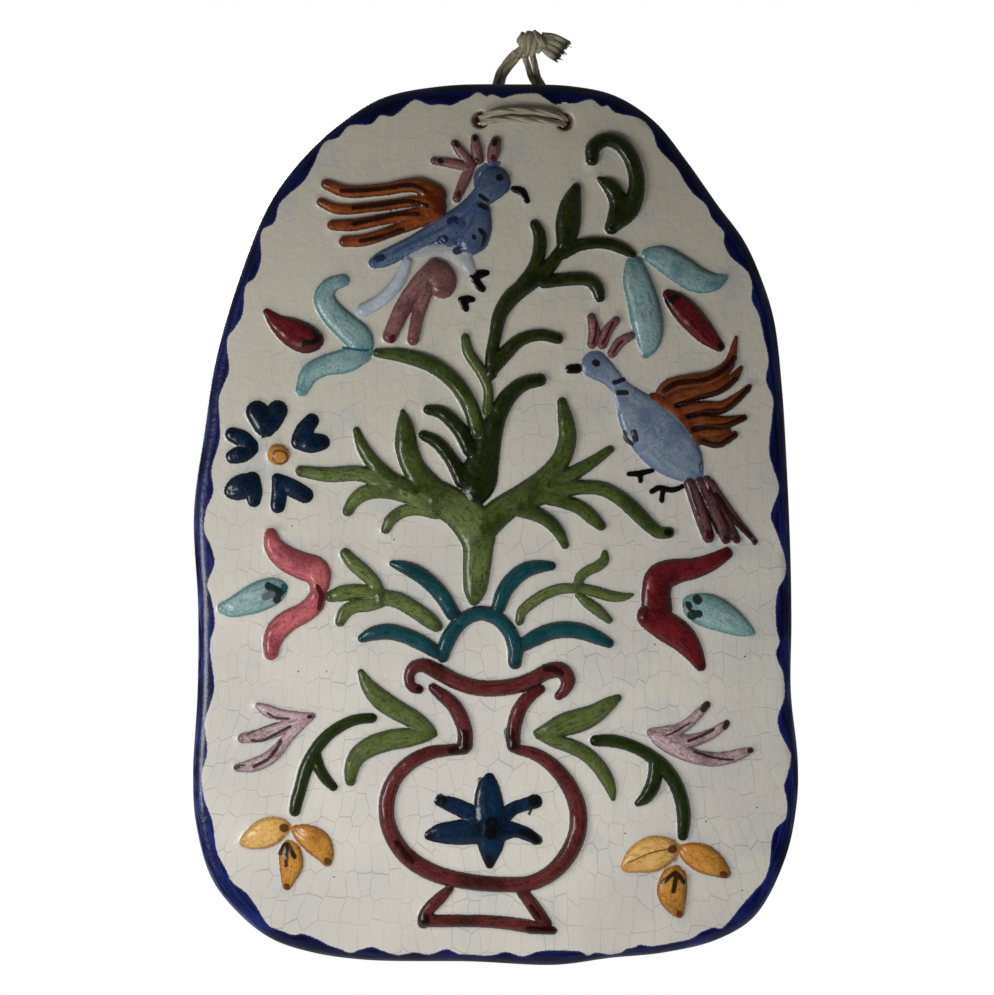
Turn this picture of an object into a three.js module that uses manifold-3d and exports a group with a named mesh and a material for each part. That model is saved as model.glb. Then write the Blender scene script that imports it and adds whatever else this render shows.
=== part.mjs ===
// A hand-made glazed pottery wall plaque with a rounded, wavy outline. Coils of rolled clay are
// pressed on its face as two birds, a spreading plant, flowers and a vase. Two holes near the top
// carry a doubled cord, which is knotted above the plaque and hangs it on the wall.
//
// Millimetres. The plaque's flat back lies in the plane Y = 0 and faces +Y, against the wall. Its
// face looks along -Y, +Z is up, and +X is to the right as seen from the front. The origin is the
// middle of the back.
import * as THREE from "three";
import * as BufferGeometryUtils from "three/addons/utils/BufferGeometryUtils.js";
import Module from "manifold-3d";

// ---- driving dimensions ----
const SLAB_THICKNESS = 10;
const EDGE_ROUND = 3.5; // radius of the slab's rolled edge, front and back
const EDGE_STEPS = 3;
const OUTLINE_STEPS = 82; // straight sides that the slab's outline is made of

const COIL_RISE_PER_WIDTH = 0.6; // a coil stands this much of its own width above the face
const COIL_RISE_MAX = 3;
const COIL_SINK = 1; // how far each coil is rooted in the slab
const COIL_STEP = 9; // length of one straight stretch of a coil
const COIL_STEPS_MIN = 2;
const COIL_END = 0.8; // how far a coil's end runs past its last station, in half widths
const COIL_END_TAPER = 0.75; // width of that end, as a share of the station's

const HOLE_RADIUS = 2.9;
const LEFT_HOLE = [-5.2, 135];
const RIGHT_HOLE = [23, 134.3];
const HOLE_SIDES = 20;

const CORD_DIAMETER = 1.6;
const CORD_SIDES = 8;
const CORD_STEPS = 40;

const KNOT_CENTRE = [11.7, -1.6, 162];
const KNOT_HALF_SIZE = [4.4, 3, 4];
const KNOT_SEGMENTS = [14, 9];
const TAIL_THICKNESS = 4;
const TAIL_BEVEL = 1;

// The slab's outline as [x, z], clockwise from the top, drawn as one smooth closed curve.
const OUTLINE = [
  [6, 147.2], [26, 146.5], [40, 143.3], [53, 134.8], [64, 121.2], [74, 107], [83, 94.8], [89, 81.5],
  [93, 68.2], [95.6, 46], [97.2, 20], [98.4, -8], [98.8, -32], [98.6, -56], [100.9, -79], [100.6, -93],
  [96.7, -111.8], [86.5, -131], [74, -138.8], [56, -143.2], [38, -145], [20, -147.3], [-8, -146.2],
  [-44, -145.6], [-62, -143], [-75, -138.6], [-85.5, -130.6], [-95, -118.5], [-100.3, -100],
  [-101.3, -84], [-99.8, -56], [-99.6, -28], [-101, 4], [-97.4, 31.5], [-93.8, 55], [-86.4, 81],
  [-76, 107], [-65.5, 121.6], [-52, 134.2], [-38, 142.6], [-18, 146.6],
];

// Each coil is a list of [x, z, width] stations along its middle line, joined by a smooth curve.

// The bird on the left: its wing feathers, body, breast, leg feather, crest and tail.
const LEFT_BIRD = [
  [[-56.6, 113.4, 3.2], [-50, 111, 3.8], [-38, 111.6, 3.8], [-26, 113, 5], [-20.5, 109.5, 8]],
  [[-58.3, 107.4, 2.6], [-53, 105.2, 3.2], [-40, 106, 3.2], [-26, 107.6, 3.8], [-20, 106, 7]],
  [[-54.5, 99.8, 3.2], [-48, 99.8, 3.8], [-36, 102, 3.4], [-26, 103.6, 4], [-20, 105, 6]],
  [[-50.5, 94.3, 3.4], [-44, 94.8, 3.8], [-34, 98, 3.6], [-26, 101.2, 4.4], [-19.5, 104, 5]],
  [[-40.5, 87.3, 3.6], [-37.5, 88.5, 5.2], [-28, 93.2, 5.4], [-18, 99, 6], [-9, 105.3, 6],
    [-3.6, 110.3, 7.5], [-0.6, 114, 10.6]],
  [[-5.5, 104, 7], [-6.8, 98, 9], [-8.5, 94, 8.4]],
  [[-13, 99.5, 7], [-15.5, 95.5, 6]],
  [[-28, 90.6, 3], [-18, 91.6, 3.6], [-11.5, 89.5, 5], [-8, 84.5, 3]],
  [[-29.5, 87.5, 3], [-32.5, 81, 4], [-38, 75, 4], [-44.3, 71.3, 4.2]],
  [[-20.6, 121.2, 2.2], [-15, 120.4, 2.8], [-9, 119, 2.8]],
  [[-13.8, 127, 2.2], [-11.5, 123.8, 2.9], [-8.3, 120.3, 2.8]],
  [[-7, 128.6, 2.4], [-6.5, 125, 3.6], [-5.8, 121.6, 3.2]],
  [[0, 127.7, 3], [-0.7, 124.5, 4], [-1.3, 121.7, 3]],
  [[-8, 120, 2.6], [-10.8, 114, 3.2], [-13.1, 108.6, 2.4]],
  [[-18.6, 84.6, 7], [-18.2, 81.4, 9.8], [-17.8, 79.4, 8]],
  [[-20.5, 86.5, 4.6], [-26, 80, 5.2], [-31, 72, 5.4], [-35.3, 62.8, 4.6]],
  [[-22.5, 79, 4], [-25.8, 70.5, 4], [-27.6, 61.6, 3.6]],
];

// The bird on the right: its body, crest, tail and wing feathers.
const RIGHT_BIRD = [
  [[33.1, 53.2, 9], [37.8, 49.6, 6.4], [41.4, 45.6, 5.8], [45, 40.6, 10], [50, 34, 16.4],
    [56.4, 27.2, 18.4], [62.2, 21.2, 13], [66.8, 16.8, 4.5]],
  [[31.8, 69, 2.6], [32.8, 64, 3.6], [32, 60.2, 3]],
  [[40, 68, 2.4], [37, 64.4, 3.2], [35.4, 60, 3]],
  [[45, 63, 2.4], [41, 60.4, 3.2], [38.6, 57, 2.8]],
  [[64.4, 14, 3.4], [67, 7, 4.2], [69.4, 0, 4.2], [70.8, -4.2, 3.6]],
  [[67.6, 14.4, 3], [70.6, 8, 3.2], [73.6, 2, 3.6], [76.6, -5, 2.8]],
  [[70.2, 15, 2.6], [73.2, 8.6, 3], [76.6, 1.6, 3], [80.2, -5, 2.4]],
  [[71.8, 14, 2], [75.2, 8, 2.8], [80, 1.6, 2.4], [86.4, -5.6, 1.4]],
  [[54, 43, 2.4], [57.4, 45.8, 4.8], [64, 47.7, 4.6], [71.5, 49, 4.6], [77.4, 53.2, 3.6], [80, 62.3, 0.9]],
  [[57.5, 41.2, 3], [65, 43.6, 4.6], [74, 45.5, 4.2], [79, 48.8, 3], [81.6, 52.2, 1.2]],
  [[60.5, 37.6, 3], [68, 39, 4], [75, 39, 4], [80, 42, 3], [84.4, 46, 1.4]],
  [[64, 34.5, 3], [70, 34.5, 4], [76, 34, 4], [82.5, 35.5, 2]],
  [[66, 31.3, 2.6], [71.5, 30.8, 3.6], [77, 31.5, 2.2]],
  [[69, 28, 2.8], [74, 27.6, 4], [79.5, 30, 2]],
];

// The tall stem of the middle plant, with its curled frond, its bud and its side shoots.
const THISTLE = [
  [[32, 121.6, 4], [32.4, 125.6, 4.6], [36.3, 128.2, 4.4], [41.2, 126.8, 4.6], [45.2, 121.4, 4.8],
    [46.9, 113, 5], [44.5, 105, 6], [38.4, 98.8, 4]],
  [[34.5, 115, 1.6], [38, 112.6, 4.6], [40.8, 107.5, 5.8], [40.2, 102, 6], [38.6, 99, 4.4]],
  [[26.7, 112.2, 2.8], [24.8, 106, 6.8], [24, 100, 8], [23.3, 95, 6], [22.2, 91, 3.4]],
  [[22, 90, 3.4], [28, 93.2, 3.8], [36, 93.8, 3.6], [42, 92, 3.4], [45.4, 90, 2.6]],
  [[16, 80.8, 4], [24, 81.8, 4.2], [30.5, 81.6, 4], [33.8, 78.8, 4], [34.6, 75.8, 3.2]],
  [[4.6, 76, 3.2], [9, 80.8, 3.6], [12.8, 86, 3.8], [14.6, 92, 4.2], [14.4, 97, 3.8], [12.9, 100, 3]],
  [[-1.6, 50, 3.4], [-1.6, 56, 3.6], [-0.3, 62.5, 3.8], [1.4, 70, 4.6], [5.6, 76.2, 5.4], [12, 81, 5],
    [17.4, 85.6, 4.4], [21.4, 91, 3.8]],
  [[-1.8, 50.6, 3.4], [2.2, 56, 4.6], [8, 61.4, 4], [14.6, 63.2, 3.6], [20.6, 62, 3.4]],
  [[-10.2, 62.2, 2.6], [-9.2, 57.5, 3.4], [-5, 51, 3.4], [-2.6, 45, 3], [-2.9, 38, 3]],
  [[-39.4, 57.2, 2.8], [-31, 56.3, 4.4], [-20.5, 52.8, 5], [-13, 46.6, 5], [-8.6, 39.5, 5], [-6, 31, 5]],
];

// The dark foot of the middle plant, where its shoots leave the ground.
const DARK_PLANT = [
  [[14.6, 48.2, 4], [9, 46.8, 4.6], [4, 42.6, 5.4], [0.6, 36.5, 6], [-2.2, 29, 8], [-4.4, 21, 10.5],
    [-6, 14.5, 12], [-6.6, 9.8, 7]],
  [[-22.6, 38.3, 3], [-18, 37.3, 4.2], [-12.3, 32, 4.8], [-8.4, 25, 5]],
  [[-24.2, 29.8, 3], [-19.6, 27.4, 4], [-15, 22, 4.4], [-10.8, 15, 6]],
];

// The spreading tree: its trunk, its low branches, and its upright leaves.
const TREE = [
  [[-65, 17.8, 3.4], [-56, 16.6, 4.6], [-46, 17, 4.8], [-38, 15, 5.6], [-30, 12.6, 6]],
  [[-49.4, 4.4, 3.2], [-47.4, 7.7, 4], [-43.5, 10.6, 4.8], [-37, 11.4, 5.2], [-29, 9.8, 5.6], [-21, 7, 7]],
  [[-36.7, -1.6, 2.8], [-35, 1.6, 3.6], [-31, 4.4, 3.8], [-26, 5.2, 4], [-20, 4.4, 5]],
  [[-7.3, -25, 3.6], [-6.9, -21, 7.4], [-6.4, -14, 9], [-6, -7, 10], [-7, -1, 13], [-12, 4.5, 12],
    [-19, 9, 11]],
  [[-46.5, 31.4, 2], [-44.2, 25.5, 3.8], [-40.2, 19.8, 4.8], [-34.5, 14.5, 5.6], [-27, 10.6, 6]],
  [[-31, 37.6, 1.4], [-30.2, 32, 5.6], [-29.8, 26, 7.2], [-27.4, 19, 7.6], [-22.5, 12.5, 9], [-16, 7, 9]],
  [[22, 40.8, 2.8], [23.2, 35, 4.8], [23.8, 28.5, 5.6], [21.6, 21.6, 6], [16.4, 15.6, 6.4],
    [9, 9.8, 7.5], [1, 4, 9], [-5, -2, 9]],
  [[38, 25, 2.4], [32, 20.8, 3.6], [25, 16.6, 4.8], [18, 13, 5]],
  [[12, 9.6, 8], [20, 11.4, 6], [28, 12.4, 4.6], [35, 12, 4.4], [41, 9, 4.6], [45.8, 5, 4.8],
    [50.6, 0.2, 4.4], [54.4, -2.7, 3.8], [57.6, -2.7, 3.4]],
  [[14, 9.6, 4.4], [21, 8, 4.2], [27.6, 5.8, 4.4], [32.6, 1.8, 4.2], [35, -0.4, 3]],
  [[8, 5.6, 6], [13, 3.7, 4.8], [17.5, 1.1, 4.2], [21, -2.6, 3.6], [23, -6.8, 2.4]],
];

// The open petals near the top, each pair with a seed between them.
const TOP_PETALS = [
  [[50.6, 90, 4], [55.5, 88.8, 7.8], [61, 85.3, 9], [67, 81.6, 8.4], [72.5, 80.8, 5.6], [76.6, 82.6, 1.6]],
  [[46.2, 86.4, 6], [47, 81, 9], [48.8, 75, 10], [50.4, 67.5, 10.4], [51, 61.5, 7.6], [49.8, 56.6, 2.4]],
  [[-50.8, 81.4, 4], [-55, 79.8, 5], [-57.2, 75.8, 6.6], [-54.8, 70.8, 7.6], [-50, 66, 8.6],
    [-45.6, 61.8, 9], [-44.9, 58.4, 7.4]],
  [[-44.9, 57, 6.8], [-50, 54.6, 7.8], [-57, 53, 6.6], [-62, 50.2, 6], [-64.6, 44.9, 4]],
  [[57.4, 76.6, 3.4], [60.4, 73.8, 6.6], [64.6, 69.4, 8], [69.6, 63.8, 6.6], [74.4, 59.2, 3]],
  [[-76.3, 70.8, 2.2], [-72.6, 67, 5.4], [-68, 64.2, 9], [-63.6, 62, 9.6], [-61, 61.4, 7]],
];

// The five-petalled flower on the left, each petal two short coils, and its round middle.
const NAVY_FLOWER = [
  [[-79.6, 37.6, 7.2], [-77, 33, 7], [-76.3, 31.2, 3.4]],
  [[-72.8, 38, 6.6], [-75.2, 34, 6.6], [-76.2, 31.2, 3.4]],
  [[-66, 28.6, 4], [-63.8, 31.6, 5.4], [-61.4, 34.6, 4.6]],
  [[-66, 27.4, 4.4], [-61.6, 27.2, 6.4], [-58, 27.4, 5]],
  [[-81.6, 26.4, 4.4], [-84.6, 28.6, 5.4], [-87.8, 30, 4.6]],
  [[-81.4, 25.2, 4.2], [-84.6, 23.6, 5.6], [-87.8, 22.6, 4.4]],
  [[-81.8, 14.6, 5], [-85.2, 12.4, 8], [-88, 11.2, 5]],
  [[-81.2, 15, 5], [-80.8, 11, 5.6], [-80.7, 8, 4.2]],
  [[-73, 15.4, 3.2], [-72.2, 11, 4.8], [-72.7, 6.2, 4.6]],
  [[-72, 14.8, 3.8], [-68, 12.2, 5.6], [-63.6, 9.8, 5.2]],
  [[-72.7, 23.4, 6.6], [-72.3, 23.2, 6.6]],
];

// The tulip on each side, with the seed that it holds.
const SIDE_TULIPS = [
  [[-75, -3.2, 3.8], [-74, -7.2, 6], [-70, -11.2, 8], [-64.5, -13.8, 8.8], [-60, -15.6, 9],
    [-58.8, -19.6, 6.4], [-59.4, -22.8, 4.6]],
  [[-59.4, -23, 4.6], [-60.6, -26.4, 6.4], [-64, -29.4, 6.4], [-68.6, -31.7, 6.8], [-72.6, -35, 7],
    [-74.6, -39.4, 5.6], [-74.9, -43, 4.2]],
  [[76.8, -9.6, 3.8], [72, -12.4, 5.4], [66, -14.6, 6.6], [60, -15.6, 8], [54.8, -17.8, 9.6],
    [53.4, -22.5, 9.4], [53.6, -28, 10]],
  [[51, -30.6, 8], [56, -33.6, 9.6], [61.6, -37.4, 9], [65.4, -42, 6.4], [68.2, -47.2, 3.2]],
  [[-91, -27.8, 3.4], [-88, -27.7, 6], [-84, -26.2, 8], [-79.4, -24.2, 9.6], [-75, -22.4, 9],
    [-72, -21.2, 5]],
  [[64.8, -26.4, 5.5], [67.5, -27.8, 9.4], [71, -28.8, 11], [76, -31, 9.6], [81, -33.8, 6.4],
    [85, -35.8, 2.4]],
];

// The small leafy sprigs beside the fountain.
const SPRIGS = [
  [[-50.2, -9.6, 3.2], [-47.8, -12.6, 4.4], [-44.2, -15.8, 4.6], [-40.8, -19.2, 4.2], [-38.8, -23, 4]],
  [[-55, -24, 3.4], [-51, -22.9, 5], [-46, -22.2, 4.4], [-39.6, -23, 4]],
  [[-51.9, -32.4, 3], [-50.3, -29.2, 4], [-47, -27.2, 4.2], [-42.4, -26.6, 4.4], [-38.6, -25.4, 4.4]],
  [[-38, -24.2, 4.8], [-32.6, -25.2, 5.2], [-27, -28.4, 5.2], [-22.2, -31.8, 5], [-19.8, -33.8, 3.8]],
  [[7.8, -32.2, 2.6], [8.8, -28.9, 3.2], [12.4, -25.7, 3.4], [17, -22.9, 3.4], [22, -21.4, 3.2],
    [26.6, -21.2, 3]],
  [[27.1, -20.4, 2.6], [27.9, -17.8, 3], [30.3, -15.6, 3], [33.6, -14, 3.2], [36, -12, 3],
    [36.2, -9.4, 1.6]],
  [[27, -21, 2.8], [32, -22.1, 3.4], [38, -23.8, 3.4], [42.6, -24.1, 2.4], [45.3, -23.4, 1]],
  [[27.4, -23.6, 1.8], [30.4, -26, 3.2], [34.3, -28.9, 3.4], [37.6, -31.8, 2.2]],
];

// The arch over the vase, and the four fronds that fall from it.
const FOUNTAIN = [
  [[-17.7, -44, 3.8], [-16.6, -39.8, 4.8], [-14.2, -35.4, 4.8], [-10.6, -31.6, 4.6], [-5, -29.5, 4.6],
    [0.6, -31.4, 4.6], [4.8, -36.2, 4.6], [6.5, -41.4, 4.8], [6.3, -46, 4.2]],
  [[-34.4, -13, 2], [-30, -14.4, 4.2], [-25.4, -16.7, 5], [-21.2, -20.1, 5], [-17.6, -24.2, 5],
    [-14.4, -29.6, 4.6]],
  [[18.4, -13.8, 2.8], [14.4, -14, 4], [9.8, -15.2, 5], [5.8, -18.2, 5.2], [2.8, -22.2, 5],
    [0.8, -27.6, 4.4]],
  [[-44.6, -37.9, 2.6], [-40.8, -36.3, 4.4], [-35.6, -35.7, 5], [-30.4, -36.9, 5], [-25, -39.3, 5],
    [-19.6, -42.6, 4.2]],
  [[8.6, -40.4, 4], [13, -37.8, 5.2], [18, -35.7, 5.2], [23.4, -35, 5.2], [29, -35.8, 5],
    [33.6, -37.6, 4.4], [37.6, -39.5, 3]],
];

// The vase: its rolled rim, neck, belly and foot in outline, and the star flower on it.
const VASE = [
  [[-25.7, -54.9, 2.8], [-28, -54.1, 3], [-28.9, -50.8, 3.2], [-27.6, -47.8, 3.8], [-24.2, -46.9, 4.4],
    [-19.6, -48.9, 5], [-13.4, -52.2, 5], [-6.6, -54.3, 5], [1, -54.5, 5], [7.6, -53.4, 5],
    [13, -51.2, 4.8], [17.6, -48.8, 5], [21.8, -48.6, 5], [24, -51.8, 4.6], [22.9, -55, 3.6],
    [20.9, -57.1, 2.6]],
  [[-21, -54.4, 2.8], [-18, -56.8, 4], [-14.3, -60, 4.6], [-11.7, -64.5, 4.8], [-10.3, -69, 4.6],
    [-10.2, -73.6, 4.6]],
  [[15, -54.9, 2.6], [11.5, -57, 3.8], [8.4, -60.6, 4.4], [6.6, -65, 4.6], [5.8, -69.6, 4.4],
    [6, -73.8, 4.2]],
  [[-10.6, -74.7, 3.6], [-16, -75.2, 3.6], [-22, -76.1, 4.2], [-28, -79, 4.6], [-33, -83.7, 4.6],
    [-35.9, -90, 4.8], [-36.4, -97, 4.8], [-34.6, -103.6, 5], [-29.6, -110.6, 5.4], [-21, -116, 5.4],
    [-10, -118.8, 5], [2, -119.9, 4.8], [12, -119.3, 4.8], [19, -115.6, 5.2], [24.2, -109.6, 5.6],
    [27.2, -102, 5.6], [27, -93.6, 5.4], [23.6, -86, 5], [18.4, -80, 4.4], [12.6, -76.3, 3.8],
    [7, -74.9, 3]],
  [[-15.4, -121.3, 2.4], [-18.6, -124.4, 3.6], [-22, -127.8, 3.8], [-24, -131, 3.8], [-23.8, -132, 3.8]],
  [[-23.6, -132.1, 3.8], [-12, -132, 3.8], [0, -132.4, 3.9], [9, -133.6, 4.2], [14, -134.4, 3.8],
    [18.8, -135.1, 2]],
  [[8.4, -122, 3.4], [11.4, -125.8, 4], [14.4, -130, 4.2], [17, -133, 3]],
  [[-2.2, -84.6, 3.4], [-2.6, -88.4, 7.4], [-2.4, -93, 9.4], [-1.8, -99, 10], [-1.7, -105, 9],
    [-2, -110, 5.4], [-2.1, -113.2, 2.4]],
  [[-19, -92.2, 3], [-15.2, -93.2, 4.8], [-10.6, -95.2, 5.4], [-5.6, -98, 6.4]],
  [[-22.2, -103.6, 3], [-18.4, -102.9, 6.2], [-12.6, -102.6, 8], [-6, -101.8, 9]],
  [[1, -101.8, 7.6], [6.4, -101.9, 4.6], [10.8, -103.4, 4], [13.2, -105.2, 2.8]],
  [[1.6, -98.4, 5], [5.6, -94.8, 4.2], [9.4, -93.4, 4], [13, -92.3, 4.4]],
];

// The two pairs of leaves beside the vase.
const VASE_LEAVES = [
  [[-45, -49.2, 1.8], [-42.4, -54, 4.6], [-38.4, -58.2, 6.4], [-33.2, -61.7, 6.4], [-27.6, -64.8, 5.8],
    [-23.4, -67.6, 4.4], [-20.8, -69.4, 2]],
  [[-48.5, -85.4, 3.2], [-48.1, -81.4, 4.4], [-46, -77, 5.6], [-41.6, -73.9, 6.4], [-35.6, -71.9, 6.6],
    [-29.6, -71, 6.2], [-24.8, -70.4, 4.6], [-20.6, -70, 1.8]],
  [[13.4, -69.5, 1.8], [18, -68.3, 5], [23, -66.6, 7.4], [28.2, -65.1, 7.6], [33.2, -62.9, 6.2],
    [37, -60.2, 4.6], [40.6, -57.8, 2.2]],
  [[14, -70.4, 1.8], [19, -72, 3.8], [25, -73.9, 4.6], [30, -76.5, 4.6], [34, -80.4, 4.6],
    [36.9, -84.8, 4.2], [38.5, -88.8, 2.8], [39, -91.4, 1.2]],
];

// The stem that droops on each side of the vase, with its side shoot.
const DROOPING_STEMS = [
  [[-41.3, -64.5, 3], [-46, -64.9, 3.2], [-51, -66.8, 3.4], [-56, -70.2, 3.6], [-60.2, -75.2, 3.8],
    [-63.2, -81.2, 4], [-65, -87.4, 3.8], [-66.4, -92.4, 3.8], [-67, -95.4, 3.4]],
  [[-60.2, -76.6, 3.6], [-59.2, -80.4, 3.6], [-57, -84.4, 3.4], [-54.2, -87.4, 2.6]],
  [[33.2, -72, 3.4], [39, -72.1, 4], [45, -73.7, 3.8], [50.4, -76.4, 4], [55.6, -80.6, 4.6],
    [59.4, -85.6, 4.4], [61.7, -91.4, 4.3], [62.6, -98, 4.2], [62.2, -103.6, 3.2]],
  [[53.4, -79.6, 4.6], [53, -84, 4.6], [51.7, -88.2, 4.6], [49.4, -91.4, 3.6], [47.2, -92.9, 1.8]],
];

// The three-petalled trumpet flower on each side.
const TRUMPET_FLOWERS = [
  [[-79.2, -60.3, 1.6], [-76.4, -61.9, 3.6], [-72, -63.3, 3.4], [-67, -63.8, 2.8], [-61.2, -63.8, 1.8]],
  [[-84.4, -71.2, 3], [-79, -70.3, 4], [-74, -68.7, 4.2], [-68.4, -66.5, 3.4], [-62.2, -64.2, 2]],
  [[-86, -81, 2.4], [-81.4, -80.3, 4], [-76.8, -78.5, 4.2], [-73, -75.5, 4], [-69.8, -71.6, 3.2],
    [-65.6, -67.4, 2.6], [-61.8, -64.4, 1.8]],
  [[51.6, -69.2, 2.4], [57, -69.2, 4], [61.4, -67.9, 3.4], [65.2, -65.2, 3], [68.2, -62.2, 2.6],
    [70.2, -60.2, 2]],
  [[52, -69.6, 2.4], [58, -72, 5], [63.6, -72.2, 4.2], [68.2, -71.2, 3.6], [72.4, -69.3, 3],
    [76.4, -66.6, 2]],
  [[51.4, -69.6, 2], [55, -71.6, 5], [60, -74.6, 5.2], [66, -77.2, 4.6], [72.4, -78.2, 4.4],
    [78.4, -77.4, 3.8], [82, -76.2, 3], [84.7, -75.2, 1.8]],
];

// The three-petalled flower in each lower corner.
const CORNER_FLOWERS = [
  [[-84, -105.9, 2.8], [-80.6, -104.6, 7], [-76.4, -102.7, 9.6], [-73, -101.3, 7.4], [-70.3, -100.8, 3.8]],
  [[44, -113.6, 4.6], [47.6, -111.4, 8.8], [52, -109.8, 11.6], [56.2, -108.5, 8.4], [59.2, -108, 3.8]],
  [[-66.5, -101.9, 3.2], [-63.2, -103.6, 7], [-59.6, -106, 8.6], [-57.2, -109.4, 6], [-56.2, -112.3, 3]],
  [[-69.2, -106.4, 2.6], [-68.5, -109.6, 7], [-68.2, -113.2, 7.6], [-69, -117.2, 5], [-69.6, -120.3, 2.8]],
  [[62, -108.3, 2.6], [65, -109.6, 6.8], [69, -111.3, 9.2], [73, -113.6, 7], [76.5, -116.2, 3.2]],
  [[60, -115.6, 4], [59, -119, 9], [58.6, -122.4, 9.6], [59.6, -126.4, 6.6], [60.9, -129.4, 3.2]],
];
// The tail is the cut ends of the cord, bundled and flared: its outline as [x, z].
const TAIL_OUTLINE = [
  [16.8, 164.3], [20.5, 163.9], [25.4, 162.5], [26.6, 160.9], [24, 157.6], [21.2, 155.1], [18.5, 156.2],
  [16.9, 160],
];

// The two strands of the doubled cord, as [x, y, z] from the knot down the left leg, through the
// left hole, across the face, back through the right hole and up the right leg to the knot.
const UPPER_STRAND = [
  [6.6, -1.4, 158.5], [4, -0.6, 156.1], [1.4, 0.2, 152.5], [-0.3, 0.8, 148.1], [-2.3, 1.15, 143.2],
  [-4.4, 1.15, 139.2], [-5.5, 0.7, 137], [-5.9, -1.2, 135.7], [-5.6, -4.5, 135.8], [-4.8, -7.6, 136],
  [-4.2, -9.7, 136], [-2.7, -11.2, 136.4], [0, -11.8, 137.2], [5, -11.8, 137.7], [11, -11.8, 137.6],
  [17.2, -11.7, 136.9], [20.5, -11.3, 136.2], [22.2, -9.8, 135.6], [22.9, -7.4, 135.3],
  [23.4, -4.4, 135.2], [23.5, -1.2, 135.2], [22.9, 0.9, 136.5], [21.2, 1.15, 139.3],
  [18.4, 1.15, 143.3], [15.5, 0.9, 147.8], [13.6, 0.3, 152.2], [12.5, -0.8, 156.4], [12.4, -1.2, 157.3],
];
const LOWER_STRAND = [
  [7.5, -1.4, 156.9], [5.3, -0.6, 154.7], [3, 0.2, 151.5], [1.5, 0.8, 147.5], [-0.5, 1.15, 142.5],
  [-2.8, 1.15, 138.2], [-3.8, 0.7, 136.2], [-4.1, -1.2, 135.1], [-4.2, -4.5, 134.4], [-4.6, -7.6, 134.1],
  [-4, -9.7, 134.1], [-2.5, -11.2, 134.2], [0.4, -11.7, 134.7], [5, -11.8, 134.9], [11, -11.8, 134.6],
  [16.8, -11.7, 133.9], [19.9, -11.3, 133.5], [21.6, -9.8, 133.8], [22.5, -7.4, 133.5],
  [22.4, -4.4, 133.6], [22, -1.2, 134], [21.3, 0.9, 135.5], [19.6, 1.15, 138.3],
  [16.8, 1.15, 142.3], [13.8, 0.9, 147], [11.6, 0.3, 151.4], [10, -0.8, 156.2], [9.9, -1.2, 157.1],
];

// ---- booleans ----
const wasm = await Module();
wasm.setup();

function solidFrom(geometry) {
  const bare = geometry.clone();
  bare.deleteAttribute("normal");
  bare.deleteAttribute("uv");
  const merged = BufferGeometryUtils.mergeVertices(bare, 1e-4);
  return new wasm.Manifold(new wasm.Mesh({
    numProp: 3,
    vertProperties: new Float32Array(merged.attributes.position.array),
    triVerts: new Uint32Array(merged.index.array),
  }));
}

function geometryFrom(solid) {
  const mesh = solid.getMesh();
  const geometry = new THREE.BufferGeometry();
  geometry.setAttribute("position", new THREE.BufferAttribute(new Float32Array(mesh.vertProperties), 3));
  geometry.setIndex(new THREE.BufferAttribute(new Uint32Array(mesh.triVerts), 1));
  geometry.computeVertexNormals();
  return geometry;
}

// ---- the slab ----
// Geometry drawn in a flat XY plane and extruded along +Z is stood up: it then reaches from the
// wall plane, Y = 0, out to the face at -Y.
function standUp(geometry) {
  return geometry.rotateX(Math.PI / 2);
}

function slabGeometry() {
  const points = OUTLINE.map(([x, z]) => new THREE.Vector3(x, z, 0));
  const curve = new THREE.CatmullRomCurve3(points, true);
  const ring = curve.getSpacedPoints(OUTLINE_STEPS).slice(0, -1);
  const shape = new THREE.Shape(ring.map((p) => new THREE.Vector2(p.x, p.y)));
  const geometry = new THREE.ExtrudeGeometry(shape, {
    depth: SLAB_THICKNESS - 2 * EDGE_ROUND,
    bevelEnabled: true,
    bevelThickness: EDGE_ROUND,
    bevelSize: EDGE_ROUND,
    bevelOffset: -EDGE_ROUND,
    bevelSegments: EDGE_STEPS,
  });
  return standUp(geometry.translate(0, 0, EDGE_ROUND));
}

function holeGeometry([x, z]) {
  const length = 2 * SLAB_THICKNESS;
  const geometry = new THREE.CylinderGeometry(HOLE_RADIUS, HOLE_RADIUS, length, HOLE_SIDES);
  return geometry.translate(x, -SLAB_THICKNESS / 2, z);
}

// ---- the coils ----
// A coil's section is a low, flat-topped arch: [across, up], across in half widths and up in crown
// heights. Its first and last points are the feet, which are sunk in the slab.
const ARCH = [[-1, 0], [-0.6, 1], [0.6, 1], [1, 0]];

function coilStations(stations) {
  const points = stations.map(([x, z, width]) => new THREE.Vector3(x, z, width));
  const curve = new THREE.CatmullRomCurve3(points);
  const steps = Math.max(COIL_STEPS_MIN, Math.round(curve.getLength() / COIL_STEP));
  return curve.getSpacedPoints(steps);
}

function headings(rings) {
  return rings.map((ring, i) => {
    const before = rings[Math.max(0, i - 1)];
    const after = rings[Math.min(rings.length - 1, i + 1)];
    return new THREE.Vector2(after.x - before.x, after.y - before.y).normalize();
  });
}

// The two end sections are narrowed and moved out past their stations, so that the ends look round.
function coilSections(stations) {
  const rings = coilStations(stations);
  const ways = headings(rings);
  return rings.map((ring, i) => {
    const past = (i === rings.length - 1 ? 1 : 0) - (i === 0 ? 1 : 0);
    const taper = past === 0 ? 1 : COIL_END_TAPER;
    return {
      x: ring.x + ways[i].x * past * COIL_END * ring.z / 2,
      z: ring.y + ways[i].y * past * COIL_END * ring.z / 2,
      way: ways[i],
      halfWidth: taper * ring.z / 2,
      rise: taper * Math.min(COIL_RISE_MAX, COIL_RISE_PER_WIDTH * ring.z),
    };
  });
}

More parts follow.
